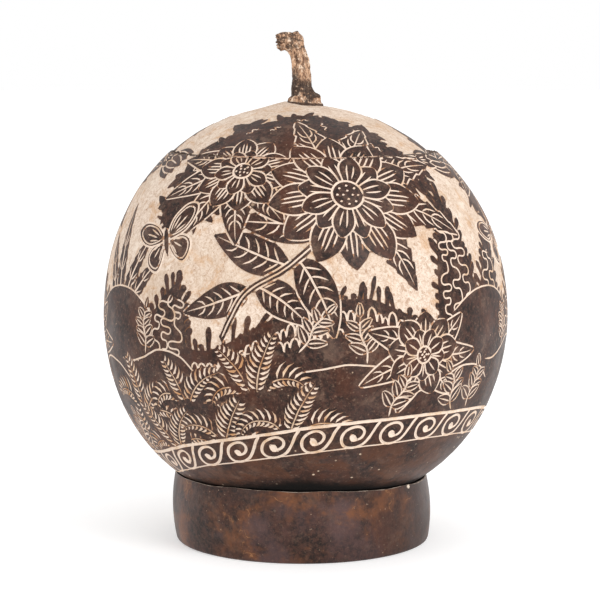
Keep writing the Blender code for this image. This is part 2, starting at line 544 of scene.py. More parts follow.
def blade(length, width, bend=0.0, swell=0.75, teeth=0):
    """Midrib, edge normals and half widths of a leaf or petal. Swell over 1 widens it near its tip."""
    shares = np.linspace(0, 1, RIB_STEPS + 1)
    rib = np.stack([bend * length * shares**2, length * shares], 1)
    along = np.gradient(rib, axis=0)
    across = unit(np.stack([along[:, 1], -along[:, 0]], 1))
    half = width / 2 * np.maximum(np.sin(math.pi * shares**swell), 0) ** 0.85
    if teeth:
        half = half * (1 - TOOTH_BITE * ((shares * teeth) % 1.0))
    return rib, across, half


def edge_round(rib, across, half, step=POINT_STEP):
    """The edge of a shape that has these half widths along its rib."""
    side = across * half[:, None]
    loop = np.concatenate([rib + side, (rib - side)[-2:0:-1], rib[:1] + side[:1]])
    return even(loop, step)[:-1]


def outlined(carving, frame_at, rib, across, half, line, step=POINT_STEP):
    """A dark shape round a rib, with a light outline where it lies on dark skin."""
    carving.area(frame_at(edge_round(rib, across, half + line, step)), OUTLINE)
    carving.line(frame_at(edge_round(rib, across, half + line / 2, step * 2)))
    carving.area(frame_at(edge_round(rib, across, half, step)), SKIN)


def leaf(carving, frame_at, length, width, bend=0.0, teeth=0, veins=6, swell=0.75, line=LINE):
    """A dark leaf with a midrib and side veins."""
    rib, across, half = blade(length, width, bend, swell, teeth)
    outlined(carving, frame_at, rib, across, half, line, 0.9 if teeth else POINT_STEP)
    carving.stroke(frame_at(even(rib[:-3])), line * 1.15, ends=(0.5, length * 0.5))
    for k in range(veins):
        start = int((0.13 + 0.66 * k / veins) * RIB_STEPS)
        stop = min(RIB_STEPS - 3, start + 8)
        for side in (-1, 1):
            tip = rib[stop] + side * across[stop] * half[stop] * 0.8
            middle = rib[start + 3] + side * across[start] * half[start] * 0.42
            if np.linalg.norm(tip - rib[start]) > 2.2:
                carving.stroke(frame_at(spline([rib[start], middle, tip])), line * 0.9, ends=(0.2, 2.5))


def petal(carving, frame_at, length, width, veins, line, swell=1.6):
    rib, across, half = blade(length, width, swell=swell)
    outlined(carving, frame_at, rib, across, half, line)
    for k in range(veins):
        lean = (k - (veins - 1) / 2) / max(1, veins)
        first = 19 + 4 * (k % 2)
        last = 51 - 5 * abs(round(3 * lean))
        places = ((first, 1), (36, 1.25), (last, 1.4))
        path = [rib[i] + across[i] * half[i] * lean * spread for i, spread in places]
        carving.stroke(frame_at(spline(path)), line * 0.9, ends=(2, 2))


def seeds(carving, frame_at, radius, line):
    """The middle of a flower, with rings of small seeds in it."""
    edge = arc(radius, 0, 360, count=40)
    carving.area(frame_at(even(edge)[:-1]), SKIN)
    carving.stroke(frame_at(even(edge)), line * 1.2, ends=(0, 0))
    for share in (0.66, 0.3):
        count = max(4, round(share * radius * 2.3))
        for k in range(count):
            x, y = arc(radius * share, 360 * k / count, 360, count=2)[0]
            seed = [(x - 0.55, y - 0.2), (x, y + 0.1), (x + 0.55, y + 0.2)]
            carving.stroke(frame_at(seed), 0.9, ends=(0.3, 0.3))


def blossom(carving, frame_at, radius, petals, line=LINE):
    """An open flower: a ring of large petals, a ring of small ones, and its middle."""
    for layer, (size, veins) in enumerate(((1.0, 4), (0.62, 2))):
        length = radius * size
        for k in [*range(0, petals, 2), *range(1, petals, 2)]:
            at = moved(frame_at, 0, 0, (k + 0.5 * layer) * 360 / petals)
            petal(carving, at, length, length * 5.2 / petals, veins if radius > 16 else veins - 1, line)
    seeds(carving, frame_at, radius * 0.2, line)


BUD_CUP = ((-0.08, 0.0), (-0.25, 0.22), (-0.2, 0.5), (-0.08, 0.38), (0.0, 0.52))  # left half


def bud(carving, frame_at, length, line=LINE):
    """A flower that has only begun to open, in its cup."""
    for rotation in (26, -26, 13, -13, 0):
        at = moved(frame_at, 0, length * 0.1, rotation)
        petal(carving, at, length, length * 0.36, 1, line, swell=1.2)
    right = [(-x, y) for x, y in BUD_CUP[-2::-1]]
    cup = spline([*BUD_CUP, *right], closed=True, step=POINT_STEP / length) * length
    carving.area(frame_at(cup[:-1]), SKIN)
    carving.stroke(frame_at(cup), line, ends=(0, 0))
    for x in (-0.1, 0, 0.1):
        rib = spline([(x * length * 0.5, length * 0.08), (x * length, length * 0.3)])
        carving.stroke(frame_at(rib), line * 0.9)


def stalk(carving, frame_at, points, width=2.2, line=LINE):
    """A dark stalk with a light line down its middle."""
    path = spline(points)
    along = np.gradient(path, axis=0)
    across = unit(np.stack([along[:, 1], -along[:, 0]], 1))
    outlined(carving, frame_at, path, across, np.full(len(path), width / 2), line)
    carving.stroke(frame_at(path[1:-1]), line * 0.9, ends=(1.5, 1.5))


def frond(carving, frame_at, length, bend, reach, line=0.95):
    """A curved fern frond with narrow leaflets on both sides. It hides what is behind it."""
    shares = np.linspace(0, 1, max(8, round(length / 0.9)))
    heading = math.radians(90) + math.radians(bend) * shares
    along = np.stack([np.cos(heading), np.sin(heading)], 1)
    rib = np.concatenate([[(0.0, 0.0)], np.cumsum(along[:-1] * length / (len(shares) - 1), axis=0)])
    across = np.stack([along[:, 1], -along[:, 0]], 1)
    spread = reach * np.minimum(1, 0.55 + 2 * shares) * (1 - 0.72 * shares**2)
    carving.area(frame_at(edge_round(rib, across, spread * 0.85 + 0.5)), SKIN)
    carving.stroke(frame_at(even(rib)), line * 0.5, FINE, ends=(0.8, length * 0.6))
    inner = 1 if bend < 0 else -1
    for k in range(1, len(rib) - 1, 2):
        for side in (-1, 1):
            far = spread[k] * (1 - 0.5 * (side == inner) * min(1, abs(bend) / 60))
            out = side * across[k]
            path = [rib[k] + out * 0.3, rib[k] + out * far * 0.34 + along[k] * far * 0.06]
            path.append(rib[k] + out * far * 0.68 + along[k] * far * 0.3)
            path.append(rib[k] + out * far * 0.86 + along[k] * far * 0.66)
            carving.stroke(frame_at(path), line, FINE if k % 6 == 3 else GROOVE, ends=(0.5, far * 0.9))


def fern(carving, frame_at, size, rng, count=4):
    """Fronds that arch outwards from one root, the outer ones behind."""
    for k in sorted(range(count), key=lambda k: -abs(k - (count - 1) / 2)):
        share = k / (count - 1) - 0.5
        at = moved(frame_at, share * size * 0.35, -1.0, -share * 90 + rng.uniform(-8, 8))
        bend = -share * 240 + rng.uniform(-25, 25)
        length = size * (1 - 0.2 * abs(share)) * rng.uniform(0.9, 1.12)
        frond(carving, at, length, bend, rng.uniform(5.8, 7.2))


def spray(carving, frame_at, points, length, width, line=0.5):
    """A thin stem with pairs of plain leaves that get smaller towards its end."""
    path = spline(points, step=length * 0.5)
    heading = np.degrees(np.arctan2(*np.gradient(path, axis=0).T[::-1])) - 90
    for k in range(len(path) - 1, 0, -1):
        size = 1 - 0.45 * k / len(path)
        for side in (-1, 1) if k < len(path) - 1 else (0,):
            at = moved(frame_at, *path[k], heading[k] + side * 48)
            leaf(carving, at, length * size, width * size, -0.12 * side, veins=0, line=line)
    carving.stroke(frame_at(spline(points)), line * 1.25, ends=(0.5, 3))


FORE_WING = ((0.03, 0.1), (0.3, 0.55), (0.72, 0.8), (1.0, 0.7), (0.92, 0.36), (0.6, 0.06), (0.1, -0.02))
HIND_WING = ((0.06, -0.02), (0.5, 0.0), (0.74, -0.2), (0.7, -0.5), (0.44, -0.7), (0.16, -0.42))
WING_ROOT = (0.08, 0.02)


def butterfly(carving, frame_at, size, line=LINE):
    """A butterfly with open wings."""
    step = POINT_STEP / size
    for flip in (1, -1):
        at = moved(frame_at, 0, 0, flip=flip, size=size)
        for wing in (np.array(HIND_WING), np.array(FORE_WING)):
            edge = spline(wing, closed=True, step=step)
            carving.area(at(edge[:-1]), SKIN)
            carving.stroke(at(edge), line * 1.1, ends=(0, 0))
            middle = wing.mean(0)
            inner = spline((wing - middle) * 0.76 + middle, closed=True, step=step)
            carving.stroke(at(inner), line * 0.85, ends=(0, 0))
            for tip in wing[2:5]:
                path = [WING_ROOT + (tip - WING_ROOT) * share for share in (0.25, 0.45, 0.66)]
                carving.stroke(at(spline(path, step=step)), line * 0.85, ends=(0.8, 0.8))
    trunk = np.array([(0, 0.34), (0, 0), (0, -0.42)]) * size
    carving.stroke(frame_at(spline(trunk)), size * 0.14 + 1.6, ends=(2, 4))
    carving.stroke(frame_at(spline(trunk)), size * 0.14, SKIN, ends=(2, 4))
    for side in (-1, 1):
        feeler = np.array([(0, 0.34), (side * 0.12, 0.62), (side * 0.32, 0.82)]) * size
        carving.stroke(frame_at(spline(feeler)), 1.0, SKIN, ends=(0.5, 0.5))


def finger(carving, frame_at, length, width):
    """One dark lobe of a leafy edge."""
    half = width / 2
    right = [(half * x, length * y) for x, y in ((0.6, 0.97), (1, 0.75), (0.7, 0.4))] + [(half * 0.6, -1.2)]
    left = [(-x, y) for x, y in right[::-1]]
    edge = [*left, (0, length * 1.05), *right]
    carving.area(frame_at(spline(edge, closed=True, step=0.9)[:-1]), SKIN)


# The leafy edge between the light field and the dark ground

DEGREE = 1.3  # millimetres of a degree on the gourd
FIELD_EDGE = 87  # degrees from the top
FIELD_EDGE_WAVES = ((3, 4.2, 0.4), (4, 2.6, 2.9), (7, 1.8, 0.9), (11, 1.0, 4.0))  # waves, degrees, start


def field_edge(turn):
    """Where the light field ends, in degrees from the top."""
    t = np.radians(turn)
    return FIELD_EDGE + sum(height * np.cos(count * t + start) for count, height, start in FIELD_EDGE_WAVES)


def leafy_edge(carving, rng):
    """The light field, with dark lobes that reach up into it from its lower edge."""
    turns = np.arange(0, 360, 0.9)
    carving.area(direction(turns, field_edge(turns)), SCRAPED)
    turn = 0.0
    while turn < 359:
        slope = (field_edge(turn + 1) - field_edge(turn - 1)) / 2
        tilt = math.degrees(math.atan(slope)) * 0.8 + rng.uniform(-30, 30)
        length = rng.choice((2.2, 3.4, 5.2, 7.4)) * rng.uniform(0.85, 1.15)
        finger(carving, spot(turn, field_edge(turn) + 0.6, tilt), length, rng.uniform(1.4, 2.4))
        turn += rng.uniform(1.3, 2.5)


def scallops(carving, first, last, down, rng):
    """A light line of small loops that runs along below the field's edge."""
    points = []
    turn = first
    while turn < last:
        size = rng.uniform(1.5, 2.6)
        tall = size * rng.uniform(0.8, 1.5)
        for x, y in ((0, 0), (0.15, 0.7), (0.5, 1), (0.85, 0.7), (1, 0)):
            points.append((turn + x * size, field_edge(turn) + down - y * tall))
        turn += size
    points = np.array(points)
    fine = spline(points * DEGREE, step=1.0) / DEGREE
    carving.stroke(direction(fine[:, 0], fine[:, 1]), 0.7, ends=(1.5, 1.5))


def plume(carving, frame_at, height, width, rng, bend=0.1):
    """A tall feathery bush: a dark body with lobes on both sides and light loops inside."""
    rib, across, half = blade(height, width, bend, 0.55)
    carving.area(frame_at(edge_round(rib, across, half)), SKIN)
    for side in (-1, 1):
        at = 4
        while at < RIB_STEPS - 1:
            x, y = rib[at] + side * across[at] * half[at] * 0.85
            tilt = -side * (62 - 50 * at / RIB_STEPS) + rng.uniform(-14, 14)
            finger(carving, moved(frame_at, x, y, tilt), rng.uniform(3.0, 6.6), rng.uniform(1.8, 2.6))
            at += max(3, round(rng.uniform(2.6, 3.8) * RIB_STEPS / height))
    finger(carving, moved(frame_at, *rib[-3], rng.uniform(-10, 10)), 5, 2.6)
    for side in (-0.56, 0, 0.56) if width > 17 else (-0.42, 0.42):
        meander(carving, frame_at, rib, across, side * half, rng.uniform(5.6, 7.6), rng)


def meander(carving, frame_at, rib, across, beside, wave, rng):
    """A light line that winds up beside a rib in uneven rounded loops."""
    up = np.linspace(5, 48, 200)
    seed = rng.uniform(0, 50)
    place = [np.interp(up, np.arange(len(rib)), values) for values in (*rib.T, *across.T, beside)]
    middle, sideways = np.stack(place[:2], 1), np.stack(place[2:4], 1)
    far = travelled(middle)
    drift = np.array([noise.noise(Vector((seed, y * 0.13, 0))) for y in far])
    phase = 2 * math.pi * far / wave + 2.5 * drift
    sway = place[4] + (2.1 + 1.6 * drift) * np.sin(phase)
    forward = np.stack([-sideways[:, 1], sideways[:, 0]], 1)
    path = middle + sideways * sway[:, None] - forward * 0.085 * wave * np.sin(2 * phase)[:, None]
    carving.stroke(frame_at(even(path, 0.65)), 0.62, ends=(1.5, 1.5))


RIPPLES_APART = 9  # points of the canopy's edge
CANOPY_CLUMPS = (0.06, 0.55, 1.5, 0.13)  # how high, how close together, and how unevenly they lie
CANOPY = (
    (50, -10), (44, 2), (34, 11), (22, 17), (12, 21), (2, 18), (-8, 20), (-20, 14), (-33, 7), (-43, -3),
    (-47, -12), (-32, -18), (0, -20), (36, -20),
)


def tooth(carving, frame_at, length, width):
    """One small pointed lobe."""
    half = width / 2
    edge = [(-half, -1.2), (-half, length * 0.3), (-half * 0.5, length * 0.75), (half * 0.1, length)]
    edge += [(half * 0.55, length * 0.7), (half * 0.8, length * 0.3), (half, -1.2)]
    carving.area(frame_at(even([*edge, edge[0]], 1.1)[:-1]), SKIN)


def ripple(carving, frame_at, length):
    """A short light line in two low waves."""
    x = np.linspace(-length / 2, length / 2, 19)
    y = 0.8 * np.sin(x / length * 4 * math.pi)
    carving.stroke(frame_at(even(np.stack([x, y], 1), 0.8)), 0.55, ends=(1.2, 1.2))


def canopy(carving, frame_at, rng):
    """A dark mass of small leaves behind the flowers, with a ragged edge and a few light ripples."""
    loop = spline(CANOPY, closed=True)
    far = np.arange(len(loop)) * POINT_STEP
    high, rate, uneven, slow = CANOPY_CLUMPS
    loop = loop * (1 + high * np.sin(rate * far + uneven * np.sin(slow * far)))[:, None]
    loop[-1] = loop[0]
    carving.area(frame_at(loop[:-1]), SKIN)
    along = np.roll(loop, -1, 0) - loop
    at = 0
    last = -RIPPLES_APART + 1
    while at < len(loop) - 1:
        outward = math.degrees(math.atan2(-along[at][0], along[at][1])) - 90
        rotation = outward + rng.uniform(-40, 40)
        root = moved(frame_at, *loop[at], rotation)
        tooth(carving, root, rng.uniform(1.4, 6.2), rng.uniform(1.9, 3.6))
        if rng.random() < 0.5:
            x, y = loop[at] * rng.uniform(0.7, 0.84)
            length = rng.uniform(4.4, 7.0)
            lean = rng.choice((-6, 6)) + rng.uniform(-6, 6)
            if at - last >= RIPPLES_APART and y > 0:
                ripple(carving, moved(frame_at, x, y, outward + lean), length)
                last = at
        at += rng.choice((1, 1, 2, 2))


def hill(carving, turn, points, width=0.66, foot=None):
    """The light outline of a hill through places in degrees, filled down to its foot if it has one."""
    line = spline(np.array(points) + (turn, 0), step=1.0)
    if foot:
        loop = np.concatenate([line, np.stack([line[::-1, 0], np.full(len(line), foot)], 1)])
        carving.area(direction(loop[:, 0], loop[:, 1]), SKIN)
    carving.stroke(direction(line[:, 0], line[:, 1]), width, ends=(3, 3))


# The border

SCROLLS = 30
SCROLL_START = 0.15  # of a scroll, from the front
BORDER_HEIGHT = 38.6 * MM
BORDER_TILT_X = 9.6 * MM
BORDER_TILT_Y = -13.5 * MM
BORDER_FLOOR = 34.5 * MM
BORDER_FLOOR_BLEND = 1.0 * MM
BORDER_DEEP = math.radians(8.1)
BORDER_DEEPER = math.radians(0.35)  # at the left
BORDER_POINTS = 420
BORDER_BAND = (0.56, 11.6)  # where down the border the bare band runs, and its width
BORDER_LINES = ((0.0, 1.3), (1.0, 0.6))
SCROLL_WIDTH = 1.08
KNOB_WIDTH = 2.35
SCROLL = (
    (0.71, 0.0), (0.61, 0.2), (0.54, 0.43), (0.46, 0.67), (0.36, 0.86), (0.22, 0.97), (0.05, 1.0),
    (-0.12, 0.93), (-0.225, 0.74), (-0.235, 0.49), (-0.15, 0.28), (0.03, 0.165), (0.2, 0.19),
    (0.31, 0.35), (0.305, 0.53), (0.22, 0.66), (0.10, 0.69),
)
KNOB = ((0.15, 0.70), (0.08, 0.655), (0.045, 0.56), (0.04, 0.44))  # the thick end of a scroll


def border_angle(turn):
    """Angle from the top of the border's upper line: a tilted ring that stays clear of the jar's stand."""
    height = BORDER_HEIGHT + BORDER_TILT_X * np.cos(turn) + BORDER_TILT_Y * np.sin(turn)
    mean = (height + BORDER_FLOOR) / 2
    height = mean + np.sqrt(((height - BORDER_FLOOR) / 2) ** 2 + BORDER_FLOOR_BLEND**2)
    angle = np.full(np.shape(turn), 2.0)
    for _ in range(12):
        angle = np.arccos(np.clip((height - GOURD_CENTRE_Z) / skin_distance(angle), -1, 1))
    return angle


def border_directions(along, down):
    """Directions from a place along the border, in scrolls, and down it, in heights of the border."""
    turn = math.radians(270) + (np.asarray(along) + SCROLL_START) * 2 * math.pi / SCROLLS
    angle = border_angle(turn) + (BORDER_DEEP - BORDER_DEEPER * np.cos(turn)) * np.asarray(down)
    return direction(np.degrees(turn), np.degrees(angle))


def border(carving, rng):
    """A running scroll between two lines, on a band of bare skin. The lines begin and end at the back."""
    around = np.linspace(-SCROLLS / 2, SCROLLS / 2 + 0.4, BORDER_POINTS)
    for (down, width), tone in ((BORDER_BAND, SKIN), *((line, GROOVE) for line in BORDER_LINES)):
        path = border_directions(around, np.full(BORDER_POINTS, down))
        carving.stroke(path, width, tone, ends=(0, 0))
    for k in range(-SCROLLS // 2, SCROLLS // 2):
        size = 1 + rng.uniform(-0.03, 0.03)
        path = spline([(k + x * size, y) for x, y in SCROLL], step=0.075)
        carving.stroke(border_directions(path[:, 0], path[:, 1]), SCROLL_WIDTH, ends=(0, 0))
        knob = spline(KNOB, step=0.045)
        carving.stroke(border_directions(k + knob[:, 0], knob[:, 1]), KNOB_WIDTH, ends=(0.9, 0.8))


# The large motifs and the whole drawing


def leaves_round(carving, frame_at, leaves, width, bend, veins, teeth=0):
    """Leaves that grow from one place."""
    for rotation, length in leaves:
        leaf(carving, moved(frame_at, 0, 0, rotation), length, width, bend, teeth, veins)


BRANCH = ((-52, -44), (-40, -30), (-24, -24), (-8, -12), (0, 0))
BRANCH_LEAVES = (  # where on the branch, rotation, length and width
    (0.3, 100, 27, 12), (0.34, -125, 24, 11), (0.52, 62, 30, 13), (0.58, -150, 30, 13), (0.8, 85, 33, 14),
)
TWIG = ((0, 0), (14, 14), (26, 20), (33, 22))
BLOSSOM_LEAVES = ((-95, 44), (-55, 41), (-140, 40), (18, 40), (-18, 37))
SECOND_BLOSSOM_LEAVES = ((55, 31), (95, 33), (138, 30), (18, 27), (175, 27))
GROUND_LEAVES = ((105, 26), (-100, 25), (150, 22), (-145, 21), (60, 24), (-62, 22))


def flowering_branch(carving, turn, petals, rng):
    """The large motif: a branch that rises from the ground to a blossom, with a small blossom and a bud."""
    at = spot(turn, 52)
    canopy(carving, moved(at, -19, 23), rng)
    path = spline(BRANCH)
    for share, rotation, length, width in BRANCH_LEAVES:
        x, y = path[int(share * len(path))]
        leaf(carving, moved(at, x, y, rotation), length, width, 0.16, veins=5)
    stalk(carving, at, TWIG)
    bud(carving, moved(at, 32, 21.5, -66), 17)
    leaves_round(carving, at, BLOSSOM_LEAVES, 15, 0.1, 8, teeth=9)
    second = moved(at, -33, 17, 20)
    leaves_round(carving, second, SECOND_BLOSSOM_LEAVES, 11, -0.12, 7)
    blossom(carving, second, 17, petals - 2)
    stalk(carving, at, BRANCH)
    blossom(carving, at, 27, petals)


def ground_flower(carving, turn, angle, radius, petals):
    """A blossom on a wheel of leaves, without a stalk."""
    at = spot(turn, angle)
    leaves_round(carving, at, GROUND_LEAVES, 9, -0.15, 5)
    blossom(carving, at, radius, petals)


def foot_above_border(turn):
    """Angle from the top at which plants stand on the border."""
    return math.degrees(float(border_angle(math.radians(turn)))) - 0.8


FERNS_FROM = 103  # degrees from the top


def ferns(carving, turns, rng):
    """Rows of ferns that fill the ground above the border, the highest row behind."""
    for row in (1, 0):
        for turn in turns:
            place = turn + row * 10 + rng.uniform(-2, 2)
            foot = foot_above_border(place) - row * 13
            if foot > FERNS_FROM:
                at = spot(place, foot, rng.uniform(-12, 12))
                fern(carving, at, rng.uniform(17, 22), rng, rng.choice((3, 4)))


HIGH_SPRAY = ((0, 0), (1.5, 5), (1, 10), (3, 16))
LOW_SPRAY = ((0, 0), (-1, 5), (1, 11), (0, 15))
NEAR_HILL = ((-77, 85), (-70, 81), (-62, 79.5), (-54, 80.5), (-47, 85), (-43, 91))
HILLS = (
    ((-61, 99.5), (-56, 99.5), (-50, 98), (-43, 95), (-36, 96))
    + ((-30, 101), (-25, 100), (-21, 96), (-14, 94)),
    ((-30, 103), (-24, 100.5), (-12, 98), (0, 99), (12, 97), (24, 99.5), (36, 104)),
    ((28, 106), (38, 104), (47, 100), (56, 101), (62, 105)),
)


def ground(carving, turn, rng):
    """What grows on the dark ground, from 75 degrees before this turn to 45 degrees after it."""
    for points in HILLS:
        hill(carving, turn, points)
    for place, angle, lean in ((-49, 97, 8), (-2, 94, -25), (16, 97, 20)):
        at = spot(turn + place, angle, lean)
        spray(carving, at, HIGH_SPRAY, rng.uniform(6.5, 8), rng.uniform(3.0, 3.6))
    ground_flower(carving, turn + 33, 95.5, 15, 9)
    for place, lean in ((24, -20), (47, 18), (54, -8)):
        at = spot(turn + place, foot_above_border(turn + place), lean)
        spray(carving, at, LOW_SPRAY, 8, 3.8)
    ferns(carving, [turn + place for place in (-62, -44, -25, -5) if turn > 30 or place > -44], rng)


THIRDS = (270, 150, 30)  # degrees of turn: the same things grow three times round the gourd
SCALLOPS = (0, 61, 118, 179, 238, 286)
BUSHES = (  # turns, then angle, lean, height and width
    ((316, 176, 76), (96, 3), (58, 21)),
    ((329, 89), (94, -9), (40, 15)),
)
LONG_LEAVES_AT = (208, 88)
LONG_LEAVES = ((22, 30), (-16, 33), (4, 39), (-34, 26))  # lean and height
BRANCHES = ((284, 12, 226), (155, 11, 105), (46, 13, -12))  # turn, petals, and the butterfly's turn


def draw_all(rng):
    """All areas and strokes, those at the back first."""
    carving = Carving()
    leafy_edge(carving, rng)
    for start in SCALLOPS:
        scallops(carving, start, start + 46, 5.5, rng)
        scallops(carving, start + 12, start + 40, 9, rng)
    for turns, place, size in BUSHES:
        for turn in turns:
            plume(carving, spot(turn, *place), *size, rng)
    for turn in LONG_LEAVES_AT:
        for lean, height in LONG_LEAVES:
            at = moved(spot(turn, 86), -lean * 0.14, 0, lean)
            leaf(carving, at, height, 7, 0.12 if lean < 0 else -0.12, teeth=9, veins=3)
    for turn in THIRDS:
        hill(carving, turn, NEAR_HILL, 0.6, 99)
        plume(carving, spot(turn - 41, 97, -6), 27, 18, rng)
    for turn, petals, wings_at in BRANCHES:
        flowering_branch(carving, turn, petals, rng)
        butterfly(carving, spot(wings_at, 66, 24), 14)
    for turn in THIRDS:
        ground(carving, turn, rng)
    border(carving, rng)
    return carving.items


# Meshes


class Shell:
    """One piece's vertices and faces, gathered part by part. Each face has a tone."""

    def __init__(self):
        self.points = []
        self.faces = []
        self.tones = []
        self.cut = []  # how deep each vertex is cut, from 0 to 1
        self.count = 0

    def add(self, points, cut=None):
        points = np.asarray(points, float).reshape(-1, 3)
        first = self.count
        self.points.append(points)
        self.cut.append(np.zeros(len(points)) if cut is None else np.asarray(cut, float))
        self.count += len(points)
        return np.arange(first, self.count)

    def face(self, corners, tone):
        self.faces.append(tuple(int(c) for c in corners))
        self.tones.append(int(tone))

    def bridge(self, ring, next_ring, tone, flip=False):
        n = len(ring)
        for j in range(n):
            k = (j + 1) % n
            quad = (ring[j], ring[k], next_ring[k], next_ring[j])
            self.face(quad[::-1] if flip else quad, tone)

    def grow(self, ring, points, tone, flip=False):
        """Adds a ring of points with faces between the last ring and it, and returns it."""
        next_ring = self.add(points)
        self.bridge(ring, next_ring, tone, flip)
        return next_ring

    def close(self, ring, pole, tone, flip=False):
        """Closes a ring with triangles to one point."""
        top = self.add([pole])[0]
        n = len(ring)
        for j in range(n):
            corners = (ring[j], ring[(j + 1) % n], top)
            self.face(corners[::-1] if flip else corners, tone)

    def make(self, name, finishes):
        points = np.concatenate(self.points)
        mesh = bpy.data.meshes.new(name)
        mesh.from_pydata(points.tolist(), [], self.faces)
        for finish in finishes:
            mesh.materials.append(finish)
        mesh.polygons.foreach_set("material_index", self.tones)
        mesh.shade_smooth()
        edge_sharp(mesh, np.array(self.tones))
        cut = mesh.attributes.new("cut", "FLOAT", "POINT")
        cut.data.foreach_set("value", np.concatenate(self.cut))
        made = bpy.data.objects.new(name, mesh)
        bpy.context.scene.collection.objects.link(made)
        return made


def edge_sharp(mesh, tones):
    """Marks the edges sharp that lie between two tones."""
    loops = np.empty(len(mesh.loops), int)
    mesh.loops.foreach_get("edge_index", loops)
    totals = np.empty(len(mesh.polygons), int)
    mesh.polygons.foreach_get("loop_total", totals)
    sharp = mesh.attributes.new("sharp_edge", "BOOLEAN", "EDGE")
    sharp.data.foreach_set("value", differs(len(mesh.edges), loops, np.repeat(tones, totals)))


LUMPS = ((3.1, 1.0), (7.3, 0.5))  # how close together, and how high beside each other
LUMPS_HIGH = 0.22 * MM
LUMPS_END = 130  # degrees from the top
LUMPS_FADE = 20  # degrees


def lumps(directions):
    """How far the skin stands out or in, as a grown thing does, fading towards the ring's seat."""
    height = [sum(share * noise.noise(Vector(d) * rate) for rate, share in LUMPS) for d in directions]
    angle = np.degrees(angles_of(directions)[0])
    return np.array(height) * LUMPS_HIGH * np.clip((LUMPS_END - angle) / LUMPS_FADE, 0, 1)


def vertex_depths(count, corners, tones):
    """How deep each vertex is cut: not at all beside bare skin, and least of what is around it."""
    depth = np.full(count, GROOVE_DEPTH)
    for tone, most in ((SCRAPED, SCRAPE_DEPTH), (SKIN, 0.0)):
        touched = np.unique(corners[tones == tone])
        depth[touched] = np.minimum(depth[touched], most)
    return depth


def boundary_loop(corners, directions, low, high):
    """The vertices on the open edge between two angles from the top, in order of turn."""
    found, counts = np.unique(sides(corners), axis=0, return_counts=True)
    loop = np.unique(found[counts == 1])
    angle, turn = angles_of(directions[loop])
    between = (angle > low) & (angle < high)
    return loop[between][np.argsort(turn[between])]


def angles_of(directions):
    """Angle from the top and turn, in radians."""
    return np.arccos(np.clip(directions[:, 2], -1, 1)), np.arctan2(directions[:, 1], directions[:, 0])


def inner_cut(turn, skin, gap=0.0):
    """Angle from the top at which a piece's inner face meets the cut."""
    return cut_angle(turn, lambda a, t: skin(a, t, SHELL), gap)


def used_only(directions, corners):
    """Only the directions that the triangles use."""
    used, corners = np.unique(corners, return_inverse=True)
    return directions[used], corners.reshape(-1, 3)


def carved_outside(shell, directions, corners, tones, place):
    """Adds a piece's carved skin, and returns its vertices and how deep each is cut."""
    depth = vertex_depths(len(directions), corners, tones)
    angle, turn = angles_of(directions)
    points = place(angle, turn, depth - lumps(directions))
    vertices = shell.add(points, depth / GROOVE_DEPTH)
    for triangle, tone in zip(corners, tones):
        shell.face(vertices[triangle], tone)
    return vertices, depth


LINING_START = 0.003  # radians past the cut's inner edge
CUT_FACE_END = 0.004  # radians past the same edge, and sunk into the wall
CUT_FACE_SINK = 0.1 * MM


def add_lining(shell):
    """The gourd's inner face, from just above the cut face's inner edge down to its bottom."""
    turn = even_turns(LINING_AROUND)
    top = inner_cut(turn, skin_points) + LINING_START
    ring = shell.add(skin_points(top, turn, SHELL))
    for step in range(1, LINING_RINGS):
        angle = top + (math.pi - top) * step / LINING_RINGS
        ring = shell.grow(ring, skin_points(angle, turn, SHELL), RAW)
    shell.close(ring, skin_points(math.pi, 0.0, SHELL), RAW)


RIM_ZONE = (0.3, 1.2)  # radians from the top, where the edge at the cut lies
FOOT_ZONE = (2.2, 3.0)  # and where the edge inside the ring lies
FOOT_SHARES = (0.2, 0.4, 0.6, 0.8, 0.95)  # of the way from there to the bottom
LID_LINING_SHARES = (1, 0.85, 0.68, 0.5, 0.32, 0.16, 0.05)  # of the way from the middle to the cut
WORN_AT = math.radians(278)  # where the body's edge at the cut is most worn
LIP_LEAST = 0.28  # millimetres that its worn lip reaches everywhere
LIP_MORE = 0.62  # and where it is worn


def make_body(directions, corners, tones, finishes):
    directions, corners = used_only(directions, corners)
    shell = Shell()
    vertices, depth = carved_outside(shell, directions, corners, tones, skin_points)
    rim = boundary_loop(corners, directions, *RIM_ZONE)
    foot = boundary_loop(corners, directions, *FOOT_ZONE)
    angle, turn = angles_of(directions[rim])
    worn = np.clip(0.5 + 0.9 * np.cos(turn - WORN_AT), 0, 1) + 0.25 * np.sin(3 * turn) ** 2
    lip_size = (LIP_LEAST + LIP_MORE * worn) * MM
    lip_size += np.array([0.2 * noise.noise(Vector(d) * 9) for d in directions[rim]]) * MM
    inset = depth[rim] - lumps(directions[rim])
    shell.points[0][rim] = skin_points(angle + lip_size / GOURD_RADIUS, turn, inset)
    lip = skin_points(angle, turn, lip_size)
    lip[:, 2] = cut_height(lip)
    ring = shell.grow(vertices[rim], lip, RAW)
    inner = skin_points(inner_cut(turn, skin_points) + CUT_FACE_END, turn, SHELL - CUT_FACE_SINK)
    shell.grow(ring, inner, RAW)
    add_lining(shell)
    angle, turn = angles_of(directions[foot])
    ring = vertices[foot]
    for share in FOOT_SHARES:
        ring = shell.grow(ring, skin_points(angle + (math.pi - angle) * share, turn), SKIN, flip=True)
    shell.close(ring, skin_points(math.pi, 0.0), SKIN, flip=True)
    return shell.make("carved_body", finishes)


COLLAR = (-4.0, 4.6, 1.5)  # millimetres: how far to the side of the stem, how wide and how high


def collar(angle, turn):
    """How far the skin is drawn up around the stem's foot."""
    side, size, height = COLLAR
    x = DRAWING_RADIUS * angle * np.cos(turn) - side
    y = DRAWING_RADIUS * angle * np.sin(turn)
    return height * MM * np.exp(-(x * x + y * y) / (2 * size * size))


